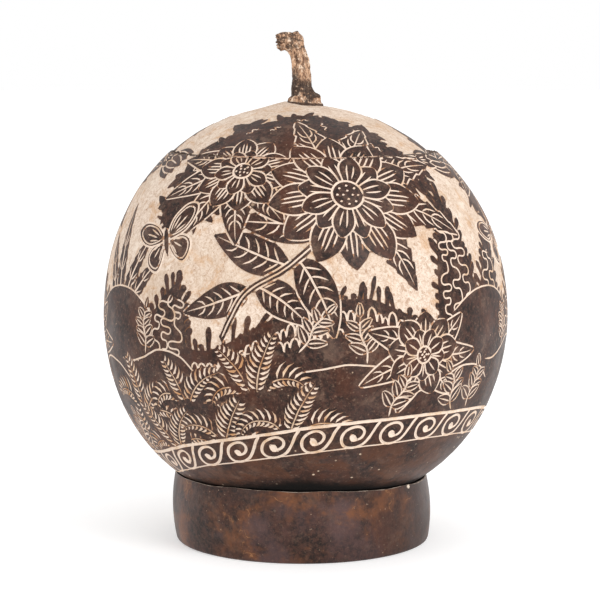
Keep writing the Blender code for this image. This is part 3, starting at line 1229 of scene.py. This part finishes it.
def make_lid(directions, corners, tones, finishes):
    directions, corners = used_only(directions, corners)
    rim = boundary_loop(corners, directions, *RIM_ZONE)
    angle, turn = angles_of(directions)
    own_edge = cut_angle(turn, lid_points, REST_GAP)
    body_edge = cut_angle(turn, skin_points)
    scale = own_edge / body_edge
    shell = Shell()

    def place(angle, turn, inset):
        return lid_points(angle * scale, turn, inset - collar(angle, turn))

    vertices, depth = carved_outside(shell, directions, corners, tones, place)
    angle, turn = angle[rim] * scale[rim], turn[rim]
    lip_size = np.array([0.22 + 0.1 * noise.noise(Vector(d) * 11) for d in directions[rim]]) * MM
    inset = depth[rim] - lumps(directions[rim])
    shell.points[0][rim] = lid_points(angle - lip_size / GOURD_RADIUS, turn, inset)
    lip = lid_points(angle, turn, lip_size)
    lip[:, 2] = cut_height(lip) + REST_GAP
    ring = shell.grow(vertices[rim], lip, RAW, flip=True)
    inner = inner_cut(turn, lid_points, REST_GAP)
    for share in LID_LINING_SHARES:
        ring = shell.grow(ring, lid_points(inner * share, turn, SHELL), RAW, flip=True)
    shell.close(ring, lid_points(0.0, 0.0, SHELL), RAW, flip=True)
    return shell.make("carved_lid", finishes)


# The stem, swept along its bent middle line. Distances are millimetres to the side of and above its foot.

STEM_SHIFT = 1.2 * MM
STEM_AROUND = 96
STEM_ALONG = 130
STEM_LINE = (
    (0.45, -2.0), (0.45, 0.0), (0.45, 1.5), (0.2, 3.6), (-0.25, 6.0), (-0.2, 9.6), (-0.42, 12.6),
    (-0.78, 15.6), (-1.4, 18.0), (-2.1, 19.8), (-3.2, 21.5), (-4.9, 22.7), (-7.0, 23.0), (-9.2, 22.8),
)
STEM_HALF = (
    (-2, 7.0), (0.0, 7.0), (0.25, 6.7), (0.5, 6.1), (2.4, 6.0), (3.0, 5.3), (3.7, 4.2), (5.0, 3.85),
    (7.0, 3.6), (9.5, 3.4), (13, 3.3), (16, 3.15), (18.5, 3.05), (20.5, 3.15), (22.5, 3.3), (24.5, 3.2),
    (26.5, 2.9), (29, 2.5), (31, 2.3),
)
STEM_NUBS = ((22.4, 0.1, 1.6, 1.5, 0.5), (23.6, 0.25, 1.3, 0.55, 0.2), (27.6, 2.9, 0.9, 0.8, 0.4))
# stubs of twigs: how far along, their turn, millimetres high and long, and radians wide
STEM_RIDGES = 5
STEM_BELOW = 2  # millimetres that the stem begins below its foot
STEM_SMOOTH = (1, 3, 5, 3, 1)
STEM_HEAD_FROM = 21
STEM_HEAD_LENGTH = 6
STEM_FOOT_TO = 4
STEM_FLAT = 0.94  # of its width, from front to back
STEM_END = ((0.9, 0.25), (0.72, 0.9), (0.5, 1.5), (0.3, 1.7), (0.12, 1.2))  # shares, and millimetres sunk
STEM_END_MIDDLE = 0.9


def outside_gourd(points):
    """How far points are outside the gourd's skin."""
    height = points[..., 2] - GOURD_CENTRE_Z
    lean = GOURD_LEAN * (height / GOURD_RADIUS) ** 2
    reach = np.hypot(points[..., 0] - lean, points[..., 1])
    return np.hypot(reach, height) - skin_distance(np.arctan2(reach, height))


def stem_line():
    """How far along the stem its rings are, with their middles, headings and half widths."""
    line = even(spline(STEM_LINE, step=0.3), 0.1)
    length = travelled(line) - STEM_BELOW
    along = np.linspace(-STEM_BELOW, length[-1], STEM_ALONG)
    middle = np.stack([np.interp(along, length, line[:, k]) for k in (0, 1)], 1)
    half = np.interp(along, *np.array(STEM_HALF).T)
    half[2:-2] = np.convolve(half, np.array(STEM_SMOOTH) / sum(STEM_SMOOTH), "valid")
    return along, middle, unit(np.gradient(middle, axis=0)), half


def bark(x, y, at, head, foot, lobe):
    """How far the bark stands out, in parts of the stem's half width."""
    grain = noise.noise(Vector((x * 2.6, y * 2.6, at * 0.09)))
    fibre = noise.noise(Vector((x * 8, y * 8, at * 0.3 + 9)))
    rough = noise.noise(Vector((x * 7, y * 7, at * 1.6 + 60)))
    knob = noise.noise(Vector((x * 1.7, y * 1.7, at * 0.5 + 30)))
    relief = (0.045 + 0.06 * head) * lobe + 0.09 * grain + 0.07 * fibre
    relief += (0.04 + 0.05 * head) * rough + (0.05 + 0.09 * head + 0.03 * foot) * knob
    return relief


def twig_stubs(at, turn):
    """How far the stubs of twigs stand out, in millimetres."""
    out = 0
    for stub_at, stub_turn, tall, long, wide in STEM_NUBS:
        beside = math.remainder(turn - stub_turn, 2 * math.pi) / wide
        out += tall * math.exp(-(((at - stub_at) / long) ** 2) - beside**2)
    return out


def stem_points(at, middle, heading, half):
    """The ring of points round the stem at one place along it."""
    side = Vector((heading[1], 0, -heading[0]))
    forward = Vector((heading[0], 0, heading[1]))
    foot_at = Vector(lid_points(0.0, 0.0)) + Vector((STEM_SHIFT, 0, 0))
    head = min(1, max(0, (at - STEM_HEAD_FROM) / STEM_HEAD_LENGTH))
    foot = min(1, max(0, (STEM_FOOT_TO - at) / STEM_FOOT_TO))
    points = []
    for turn in even_turns(STEM_AROUND):
        x, y = math.cos(turn), math.sin(turn)
        lobe = math.cos(STEM_RIDGES * turn + 0.8 + 0.035 * at)
        radius = half * (1 + bark(x, y, at, head, foot, lobe)) + twig_stubs(at, turn)
        ragged = head**3 * (1.3 * noise.noise(Vector((x * 2.2, y * 2.2, 50))) + 0.4 * lobe)
        place = side * x * radius + Vector((0, 1, 0)) * y * radius * STEM_FLAT
        place += forward * ragged + Vector((middle[0], 0, middle[1]))
        points.append(tuple(foot_at + place * MM))
    return points


def make_stem(finish):
    shell = Shell()
    along, middle, heading, half = stem_line()
    ring = first = shell.add(stem_points(along[0], middle[0], heading[0], half[0]))
    for i in range(1, STEM_ALONG):
        ring = shell.grow(ring, stem_points(along[i], middle[i], heading[i], half[i]), 0)
    rim = shell.points[-1]
    centre = rim.mean(0)
    forward = np.array((heading[-1][0], 0, heading[-1][1]))
    for share, sink in STEM_END:
        points = centre + (rim - centre) * share - forward * sink * MM
        points += forward * np.array([[0.5 * MM * noise.noise(Vector(p) * 900)] for p in points])
        ring = shell.grow(ring, points, 0)
    shell.close(ring, centre - forward * STEM_END_MIDDLE * MM, 0)
    shell.close(first, shell.points[0].mean(0), 0, flip=True)
    return shell.make("dried_stem", [finish])


# The ring

RING_AROUND = 288
RING_UP = 36
RING_BEVEL = 0.42 * MM
RING_FOOT_EDGE = ((0.0, 0.9), (0.0, 0.45), (0.12, 0.14))  # millimetres up and in
RING_INNER_SHARES = (0.985, 0.965, 0.94, 0.91, 0.88, 0.85, 0.8, 0.6, 0.4, 0.2, 0.02)  # of the rim's height


def ring_rim(turn):
    wave = 0.12 * math.sin(9 * turn + 1) + 0.08 * math.sin(17 * turn)
    return RING_RIM_Z - RING_RIM_SADDLE * math.cos(2 * turn) - RING_RIM_TILT * math.cos(turn) + wave * MM


def ring_point(turn, height, inset=0.0):
    share = height / RING_RIM_Z
    radius = RING_BULGE_RADIUS - RING_CURVE * (height - RING_BULGE_Z) ** 2 - inset
    middle = RING_FOOT_X + (RING_RIM_X - RING_FOOT_X) * share
    depth = 1 + RING_OVAL * share
    return np.array((middle + radius * math.cos(turn), depth * radius * math.sin(turn), height))


def ring_inset(turn, height):
    """How far in the ring's inner face is: its wall's thickness, or clear of the gourd that sits in it."""
    low, high = 0.0, RING_WALL
    if outside_gourd(ring_point(turn, height, RING_WALL)) >= REST_GAP:
        return RING_WALL
    for _ in range(24):
        middle = (low + high) / 2
        if outside_gourd(ring_point(turn, height, middle)) > REST_GAP:
            low = middle
        else:
            high = middle
    return low


def ring_section(turn):
    """Points round the ring's wall at one turn: up its outside, over its edge and down its inside."""
    rim = ring_rim(turn)
    section = [ring_point(turn, height * MM, inset * MM) for height, inset in RING_FOOT_EDGE]
    for step in range(1, RING_UP):
        height = rim * step / RING_UP
        swell = 0.13 * MM * noise.noise(Vector(ring_point(turn, height)) * 60)
        section.append(ring_point(turn, height, swell))
    top_inset = ring_inset(turn, rim)
    bevel = min(RING_BEVEL, top_inset * 0.35)
    section.append(ring_point(turn, rim - bevel, 0.02 * MM))
    section.append(ring_point(turn, rim - bevel * 0.3, bevel * 0.3))
    section.append(ring_point(turn, rim, bevel))
    section.append(ring_point(turn, rim, max(bevel, top_inset - bevel * 0.5)))
    for share in RING_INNER_SHARES:
        section.append(ring_point(turn, rim * share, ring_inset(turn, rim * share)))
    section.append(ring_point(turn, 0.0, RING_WALL - 0.5 * MM))
    return section


def make_ring(finishes):
    sections = np.array([ring_section(turn) for turn in even_turns(RING_AROUND)])
    shell = Shell()
    rings = [shell.add(sections[:, i]) for i in range(sections.shape[1])]
    bevel_at = len(RING_FOOT_EDGE) + RING_UP - 1
    for i in range(len(rings)):
        # Tones: the pale edge is wear with a painted highlight, and the top face and inside carry painted
        # shade.
        tone = 0 if i < bevel_at else 1 if i < bevel_at + 2 else 2  # outside, worn edge, inside
        shell.bridge(rings[i], rings[(i + 1) % len(rings)], tone)
    return shell.make("gourd_ring", finishes)


# Materials. Each of these is where along Z, or to the side, a change begins and where it is complete.

SKIN_WARM_AND_SHADE = (53 * MM, 40 * MM)
SKIN_SPECKS = (49 * MM, 42 * MM)
SKIN_SHADE = (34.5 * MM, 29 * MM)
SKIN_DULL = (35 * MM, 30 * MM)
WALL_SHADE = (140 * MM, 142.5 * MM)
WALL_SHADE_SIDE = (20 * MM, 34 * MM)
STEM_FOOT_SHADE = (162.5 * MM, 162 * MM)
STEM_FOOT_SHADE_SLOPE = 0.073
STEM_DARK_ABOVE = (163 * MM, 164.2 * MM)
STEM_DARK_BELOW = (174.5 * MM, 169.5 * MM)
STEM_DARK_HEAD = (179.5 * MM, 182.5 * MM)
RING_SHADED = (12 * MM, 42 * MM)


class Nodes:
    """A short way to write one material's nodes."""

    def __init__(self, name):
        self.material = bpy.data.materials.new(name)
        self.material.use_nodes = True
        self.tree = self.material.node_tree
        self.shader = self.tree.nodes["Principled BSDF"]
        self.place = self.add("ShaderNodeTexCoord").outputs["Object"]

    def add(self, kind, **values):
        node = self.tree.nodes.new(kind)
        for key, value in values.items():
            setattr(node, key, value)
        return node

    def link(self, source, target):
        self.tree.links.new(source, target)

    def put(self, value, target):
        if isinstance(value, bpy.types.NodeSocket):
            self.link(value, target)
        else:
            target.default_value = value

    def mapped(self, place, shift, stretch=(1, 1, 1)):
        """A place moved and stretched, so that a texture lies differently."""
        node = self.add("ShaderNodeMapping")
        node.inputs["Scale"].default_value = stretch
        node.inputs["Location"].default_value = shift
        self.link(place, node.inputs["Vector"])
        return node.outputs["Vector"]

    def texture(self, kind, place, scale, **values):
        node = self.add(kind, **values)
        self.link(place, node.inputs["Vector"])
        node.inputs["Scale"].default_value = scale
        return node

    def noise(self, scale, detail=3.0, roughness=0.55, distortion=0.0, stretch=None, shift=(0, 0, 0)):
        """Noise whose scale is in features per metre."""
        place = self.place
        if stretch or any(shift):
            place = self.mapped(place, shift, stretch or (1, 1, 1))
        node = self.texture("ShaderNodeTexNoise", place, scale)
        node.inputs["Detail"].default_value = detail
        node.inputs["Roughness"].default_value = roughness
        node.inputs["Distortion"].default_value = distortion
        return node.outputs["Fac"]

    def around_zero(self, scale, detail, reach):
        """Noise that goes as far below zero as above it."""
        return self.times(self.math("SUBTRACT", self.noise(scale, detail), 0.5), reach)

    def dots(self, scale, size, soft=0.3, shift=(0, 0, 0)):
        """Round dots of this radius, in parts of their spacing: 1 inside a dot."""
        node = self.texture("ShaderNodeTexVoronoi", self.mapped(self.place, shift), scale)
        uneven = self.around_zero(scale * 3, 2, size * 1.6)
        return self.ramp(self.plus(node.outputs["Distance"], uneven), size, size * (1 - soft))

    def cracks(self, scale, width):
        """Thin crooked lines: 1 in the middle of a line."""
        wander = self.texture("ShaderNodeTexNoise", self.place, scale * 2.5)
        wander.inputs["Detail"].default_value = 4
        moved_place = self.add("ShaderNodeVectorMath", operation="MULTIPLY_ADD")
        self.link(wander.outputs["Color"], moved_place.inputs[0])
        moved_place.inputs[1].default_value = (0.5 / scale,) * 3
        self.link(self.place, moved_place.inputs[2])
        place = moved_place.outputs[0]
        node = self.texture("ShaderNodeTexVoronoi", place, scale, feature="DISTANCE_TO_EDGE")
        return self.ramp(node.outputs["Distance"], width, 0.0)

    def near(self, spot_at, reach):
        """1 at a place and 0 beyond this reach, with an uneven edge."""
        node = self.add("ShaderNodeVectorMath", operation="DISTANCE")
        self.link(self.place, node.inputs[0])
        node.inputs[1].default_value = spot_at
        uneven = self.around_zero(1200, 2, reach)
        return self.ramp(self.plus(node.outputs["Value"], uneven), reach, reach * 0.6)

    def along(self, axis):
        node = self.add("ShaderNodeSeparateXYZ")
        self.link(self.place, node.inputs[0])
        return node.outputs[axis]

    def beside(self):
        """How far to the side a place is."""
        return self.math("ABSOLUTE", self.along("X"), 0)

    def ramp(self, value, low, high):
        """0 at low and 1 at high, with a soft change between."""
        node = self.add("ShaderNodeMapRange", interpolation_type="SMOOTHSTEP")
        if low > high:
            node.inputs["To Min"].default_value = 1
            node.inputs["To Max"].default_value = 0
            low, high = high, low
        self.link(value, node.inputs["Value"])
        node.inputs["From Min"].default_value = low
        node.inputs["From Max"].default_value = high
        return node.outputs["Result"]

    def math(self, operation, a, b):
        node = self.add("ShaderNodeMath", operation=operation)
        self.put(a, node.inputs[0])
        self.put(b, node.inputs[1])
        return node.outputs[0]

    def plus(self, a, b):
        return self.math("ADD", a, b)

    def times(self, a, b):
        return self.math("MULTIPLY", a, b)

    def mix(self, share, a, b):
        node = self.add("ShaderNodeMix", data_type="RGBA")
        self.put(share, node.inputs["Factor"])
        self.put(a, node.inputs[6])
        self.put(b, node.inputs[7])
        return node.outputs[2]

    def tint(self, colour, mask, share, screen_colour):
        """The colour with a share of another one where the mask is 1."""
        return self.mix(self.times(mask, share), colour, linear(*screen_colour))

    def bump(self, height, depth, over=None):
        """Relief of this depth in metres, on top of another."""
        node = self.add("ShaderNodeBump")
        node.inputs["Strength"].default_value = 1
        node.inputs["Distance"].default_value = depth
        self.link(height, node.inputs["Height"])
        if over is not None:
            self.link(over, node.inputs["Normal"])
        return node.outputs["Normal"]

    def finish(self, colour, roughness, normal, specular=0.5):
        self.link(colour, self.shader.inputs["Base Color"])
        self.shader.inputs["Specular IOR Level"].default_value = specular
        self.put(roughness, self.shader.inputs["Roughness"])
        self.link(normal, self.shader.inputs["Normal"])
        return self.material


def linear(red, green, blue):
    """A screen colour from 0 to 255 as the shader's own linear values."""

    def one(value):
        value /= 255
        return value / 12.92 if value <= 0.04045 else ((value + 0.055) / 1.055) ** 2.4

    return one(red), one(green), one(blue), 1


SPECKS = (  # features per metre, size, share and place in the noise
    (250, 0.085, 0.85, 5), (420, 0.11, 0.6, 9), (85, 0.06, 0.6, 13), (140, 0.055, 0.8, 17),
)


def dark_skin(n, shift=(0, 0, 0), rust=0.5, worn=0.45):
    """Colour of the dyed skin: fine dark grain, rust and grey clouds, and small pale specks."""
    grain = n.ramp(n.noise(560, 6, 0.76, 0.4, shift=shift), 0.36, 0.64)
    colour = n.mix(grain, linear(18, 10, 7), linear(66, 41, 32))
    grey = n.ramp(n.noise(34, 4, 0.62, 0.5, shift=shift), 0.48, 0.70)
    colour = n.tint(colour, grey, 0.45, (74, 58, 54))
    red = n.ramp(n.noise(46, 5, 0.66, 0.9, shift=(3 + shift[0], 1, 2)), 0.46, 0.68)
    colour = n.tint(colour, red, rust, (84, 45, 27))
    cloud = n.ramp(n.noise(105, 6, 0.78, 0.3, shift=(shift[0], 7, 1)), 0.50, 0.68)
    colour = n.tint(colour, cloud, worn * 1.3, (108, 84, 70))
    pale = n.ramp(n.noise(900, 3, 0.62, shift=shift), 0.57, 0.70)
    colour = n.tint(colour, pale, worn, (128, 100, 82))
    for scale, size, share, place in SPECKS:
        some = n.ramp(n.noise(60, 2, shift=(place, 5, 5)), 0.48, 0.58)
        speck = n.times(n.dots(scale, size, 0.6, shift=(place, 0, 0)), some)
        colour = n.tint(colour, speck, share, (172, 146, 122))
    return colour


def skin_material():
    n = Nodes("dyed_gourd_skin")
    colour = dark_skin(n)
    # Towards the bottom the skin gets warm rust blotches, its own colour, and dark blotches that are
    # painted shade on the gourd's underside.
    low = n.ramp(n.along("Z"), *SKIN_WARM_AND_SHADE)
    warm = n.times(low, n.ramp(n.noise(80, 5, 0.68, 0.5), 0.42, 0.60))
    colour = n.tint(colour, warm, 0.65, (86, 49, 27))
    dark = n.times(low, n.ramp(n.noise(150, 5, 0.72, 0.4, shift=(5, 9, 3)), 0.50, 0.62))
    colour = n.tint(colour, dark, 0.6, (30, 15, 10))
    some = n.times(n.ramp(n.along("Z"), *SKIN_SPECKS), n.ramp(n.noise(50, 2), 0.40, 0.50))
    speck = n.times(n.dots(230, 0.12, 0.6, shift=(2, 0, 0)), some)
    colour = n.tint(colour, speck, 0.9, (206, 182, 156))
    depth = n.times(n.beside(), 0.13)
    wander = n.around_zero(90, 3, 0.003)
    under = n.plus(n.plus(n.along("Z"), depth), wander)
    colour = n.mix(n.ramp(under, *SKIN_SHADE), colour, linear(3, 1, 0))
    rough = n.ramp(n.noise(60, 3, 0.6), 0.3, 0.7)
    roughness = n.plus(n.times(rough, 0.14), 0.38)
    roughness = n.math("MAXIMUM", roughness, n.times(n.ramp(under, *SKIN_DULL), 0.85))
    normal = n.bump(n.noise(240, 4, 0.6), 0.00009)
    normal = n.bump(n.noise(1100, 3, 0.6), 0.00005, normal)
    return n.finish(colour, roughness, normal, specular=0.2)


def scraped_colour(n):
    """Colour of the bared wood under the skin: cream with fine brown fibres and ochre stains."""
    fibre = n.ramp(n.noise(760, 5, 0.72, 1.2), 0.34, 0.62)
    colour = n.mix(fibre, linear(184, 158, 136), linear(222, 204, 188))
    cloud = n.ramp(n.noise(36, 4, 0.6, 0.5), 0.42, 0.66)
    colour = n.tint(colour, cloud, 0.45, (188, 164, 140))
    clean = n.ramp(n.noise(120, 4, 0.66, 0.4, shift=(9, 4, 2)), 0.52, 0.68)
    colour = n.tint(colour, clean, 0.5, (226, 212, 196))
    stain_and_shade = n.ramp(n.noise(105, 5, 0.70, 0.8, shift=(2, 4, 6)), 0.51, 0.66)
    colour = n.tint(colour, stain_and_shade, 0.55, (186, 142, 98))
    fleck = n.ramp(n.noise(760, 4, 0.7, 1.0, stretch=(1, 1, 0.5), shift=(8, 1, 4)), 0.57, 0.66)
    return n.tint(colour, fleck, 0.6, (148, 106, 74))


def cut_depth(n, top, bottom):
    """0 at the top edge of a cut and 1 at its bottom."""
    return n.ramp(n.add("ShaderNodeAttribute", attribute_name="cut").outputs["Fac"], top, bottom)


def scraped_material():
    n = Nodes("scraped_gourd")
    colour = n.mix(cut_depth(n, 0.05, 0.4), linear(104, 70, 46), scraped_colour(n))
    normal = n.bump(n.noise(760, 5, 0.72, 1.2), 0.00016)
    return n.finish(colour, 0.75, normal, specular=0.25)


def groove_material(name, bright, warm, share):
    """The wood in a cut line, in two tones, with a brown edge where the dyed skin was cut through."""
    n = Nodes(name)
    patch = n.ramp(n.noise(130, 4, 0.65, shift=(1, 7, 3)), 0.5 - share / 2, 0.7 - share / 2)
    colour = n.mix(patch, bright, warm)
    fleck = n.ramp(n.noise(1100, 3, 0.6), 0.56, 0.70)
    colour = n.tint(colour, fleck, 0.3, (150, 116, 88))
    colour = n.mix(cut_depth(n, 0.0, 0.2), linear(160, 120, 92), colour)
    normal = n.bump(n.noise(900, 3, 0.6), 0.0001)
    return n.finish(colour, 0.75, normal, specular=0.25)


def raw_material():
    """The cut wall of the gourd, bare in front and behind, with painted shade at the sides of the cut along
    the gap between lid and body.
    """
    n = Nodes("raw_gourd_wall")
    fibre = n.ramp(n.noise(700, 4, 0.65, 0.8), 0.36, 0.66)
    colour = n.mix(fibre, linear(182, 142, 114), linear(228, 196, 170))
    cloud = n.ramp(n.noise(60, 4, 0.6), 0.5, 0.7)
    colour = n.tint(colour, cloud, 0.5, (150, 108, 80))
    # Painted shade: the wall darkened near the cut, at the sides, for the shade in the gap between lid and
    # body.
    beside = n.ramp(n.beside(), *WALL_SHADE_SIDE)
    stain_and_shade = n.times(beside, n.ramp(n.along("Z"), *WALL_SHADE))
    colour = n.tint(colour, stain_and_shade, 0.88, (44, 27, 18))
    normal = n.bump(n.noise(600, 4, 0.7), 0.0002)
    return n.finish(colour, 0.85, normal)


def stem_material():
    n = Nodes("dried_stem")
    grain = n.ramp(n.noise(1000, 6, 0.78, 0.3, stretch=(1, 1, 0.45)), 0.40, 0.60)
    colour = n.mix(grain, linear(96, 66, 48), linear(200, 160, 128))
    worn = n.ramp(n.noise(420, 6, 0.78, 0.6), 0.54, 0.61)
    colour = n.tint(colour, worn, 0.85, (238, 212, 186))
    level = n.plus(n.along("Z"), n.around_zero(170, 4, 0.02))
    low = n.times(n.ramp(level, *STEM_DARK_BELOW), n.ramp(level, *STEM_DARK_ABOVE))
    low = n.times(low, n.ramp(n.noise(600, 4, 0.7), 0.70, 0.55))
    head = n.ramp(level, *STEM_DARK_HEAD)
    head = n.times(head, n.ramp(n.noise(520, 4, 0.7, shift=(5, 2, 1)), 0.46, 0.56))
    dark = n.math("MAXIMUM", n.times(low, 0.92), n.times(head, 0.8))
    colour = n.mix(dark, colour, linear(46, 31, 23))
    crack = n.ramp(n.noise(1000, 4, 0.7, 0.2, stretch=(1, 1, 0.35), shift=(4, 4, 4)), 0.55, 0.62)
    colour = n.tint(colour, crack, 0.85, (44, 29, 20))
    # Painted shade where the stem meets the lid: its lowest part darkened, reaching higher towards -X.
    foot_shade = n.ramp(n.plus(n.along("Z"), n.times(n.along("X"), STEM_FOOT_SHADE_SLOPE)), *STEM_FOOT_SHADE)
    colour = n.tint(colour, foot_shade, 0.9, (52, 34, 22))
    normal = n.bump(n.noise(700, 5, 0.7, 0.3, stretch=(1, 1, 0.35)), 0.0005)
    normal = n.bump(n.noise(1600, 3, 0.6), 0.0002, normal)
    return n.finish(colour, 0.7, normal, specular=0.35)


CHIP = (37.2 * MM, -27.7 * MM, 24.0 * MM)  # a chip in the ring's rim
CHIP_REACH = 1.1 * MM


def chipped(n, colour):
    return n.mix(n.near(CHIP, CHIP_REACH), colour, linear(214, 196, 176))


def ring_material():
    n = Nodes("dyed_gourd_ring")
    colour = dark_skin(n, (6, 2, 9), 0.5, 0.25)
    sheen = n.ramp(n.noise(40, 3, 0.6, shift=(4, 4, 1)), 0.48, 0.72)
    colour = n.tint(colour, sheen, 0.5, (92, 70, 70))
    blotch = n.ramp(n.noise(68, 4, 0.7, 0.2, shift=(1, 8, 2)), 0.49, 0.74)
    colour = n.tint(colour, blotch, 0.85, (116, 70, 40))
    some = n.ramp(n.noise(110, 2, shift=(3, 8, 2)), 0.50, 0.60)
    some = n.times(some, n.ramp(blotch, 0.05, 0.5))
    crack = n.times(n.cracks(150, 0.03), some)
    colour = n.tint(colour, crack, 0.6, (160, 112, 72))
    shaded = n.ramp(n.along("X"), *RING_SHADED)
    colour = n.tint(colour, shaded, 0.45, (46, 26, 17))
    colour = chipped(n, colour)
    roughness = n.plus(n.times(n.ramp(n.noise(60, 3, 0.6), 0.3, 0.7), 0.12), 0.36)
    normal = n.bump(n.noise(240, 4, 0.6), 0.0001)
    normal = n.bump(n.noise(1100, 3, 0.6), 0.00004, normal)
    return n.finish(colour, roughness, normal, specular=0.24)


def ring_edge_wear_and_highlight_material():
    """The ring's sharp upper edge, pale: partly wear, partly a painted highlight along the rim."""
    n = Nodes("ring_edge_wear_and_highlight")
    worn = n.ramp(n.noise(300, 3, 0.6), 0.35, 0.6)
    colour = n.mix(worn, linear(92, 74, 64), linear(158, 142, 128))
    colour = chipped(n, colour)
    return n.finish(colour, 0.6, n.bump(n.noise(700, 3), 0.00005))


def ring_inside_shade_material():
    """The ring's cut face and inside, painted dark as shade in the gap under the gourd."""
    n = Nodes("ring_inside_painted_shade")
    colour = n.mix(n.ramp(n.noise(300, 4, 0.65), 0.35, 0.65), linear(12, 8, 6), linear(30, 19, 13))
    return n.finish(colour, 0.8, n.bump(n.noise(500, 3), 0.0001), specular=0.1)


# The stage, the lights and the camera

FLOOR_HALF = 20
FLOOR_Z = -0.0001
AIM = (0, 0, 0.09)  # of the lights
LIGHTS = (  # name, place, width and height, and power
    ("key", (0.75, -0.85, 0.75), (0.5, 0.7), 8),
    ("fill", (-0.9, -0.6, 0.45), (0.5, 0.7), 1.5),
)


def make_camera():
    camera = bpy.data.objects.new("camera", bpy.data.cameras.new("camera"))
    camera.location = CAMERA_AT
    camera.rotation_euler = (math.pi / 2 - CAMERA_PITCH, 0, 0)
    camera.data.lens = CAMERA_LENS
    camera.data.sensor_width = CAMERA_SENSOR
    camera.data.clip_start, camera.data.clip_end = CAMERA_CLIP
    bpy.context.scene.collection.objects.link(camera)
    bpy.context.scene.camera = camera


def make_floor():
    mesh = bpy.data.meshes.new("floor")
    corners = [(x * FLOOR_HALF, y * FLOOR_HALF, FLOOR_Z) for x, y in ((-1, -1), (1, -1), (1, 1), (-1, 1))]
    mesh.from_pydata(corners, [], [(0, 1, 2, 3)])
    floor = bpy.data.objects.new("floor", mesh)
    bpy.context.scene.collection.objects.link(floor)
    n = Nodes("floor")
    n.shader.inputs["Base Color"].default_value = (0.82, 0.82, 0.82, 1)
    n.shader.inputs["Roughness"].default_value = 0.9
    n.shader.inputs["Emission Color"].default_value = (1, 1, 1, 1)
    n.shader.inputs["Emission Strength"].default_value = 0.3
    mesh.materials.append(n.material)


def area_light(name, at, size, power):
    light = bpy.data.lights.new(name, "AREA")
    light.shape = "RECTANGLE"
    light.size, light.size_y = size
    light.energy = power
    made = bpy.data.objects.new(name, light)
    made.location = at
    made.rotation_euler = (Vector(AIM) - Vector(at)).to_track_quat("-Z", "Y").to_euler()
    bpy.context.scene.collection.objects.link(made)


def make_lights():
    world = bpy.data.worlds.new("world")
    bpy.context.scene.world = world
    world.use_nodes = True
    background = world.node_tree.nodes["Background"]
    background.inputs["Color"].default_value = (1, 1, 1, 1)
    background.inputs["Strength"].default_value = 1.0
    for light in LIGHTS:
        area_light(*light)
    bpy.context.scene.view_settings.view_transform = "Standard"


def make_jar():
    rng = random.Random(SEED)
    noise.seed_set(SEED)
    items = draw_all(rng)
    mesh = carve(items, rng)
    finishes = [
        skin_material(),
        scraped_material(),
        groove_material("cut_line", linear(224, 205, 188), linear(210, 180, 150), 0.0),
        groove_material("fine_cut_line", linear(220, 194, 168), linear(190, 142, 98), 0.1),
        raw_material(),
    ]
    on_body = mesh.carved & ~mesh.on_lid
    body = make_body(mesh.directions, mesh.corners[on_body], mesh.tones[on_body], finishes)
    lid = make_lid(mesh.directions, mesh.corners[mesh.on_lid], mesh.tones[mesh.on_lid], finishes)
    stem = make_stem(stem_material())
    ring = make_ring([ring_material(), ring_edge_wear_and_highlight_material(), ring_inside_shade_material()])
    for piece, node in ((body, "gourd_body"), (lid, "gourd_lid"), (stem, "gourd_lid"), (ring, "ring_base")):
        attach(piece, "root")
        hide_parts(node)
        print(piece.name, len(piece.data.polygons), "faces")


make_camera()
make_floor()
make_lights()
make_jar()
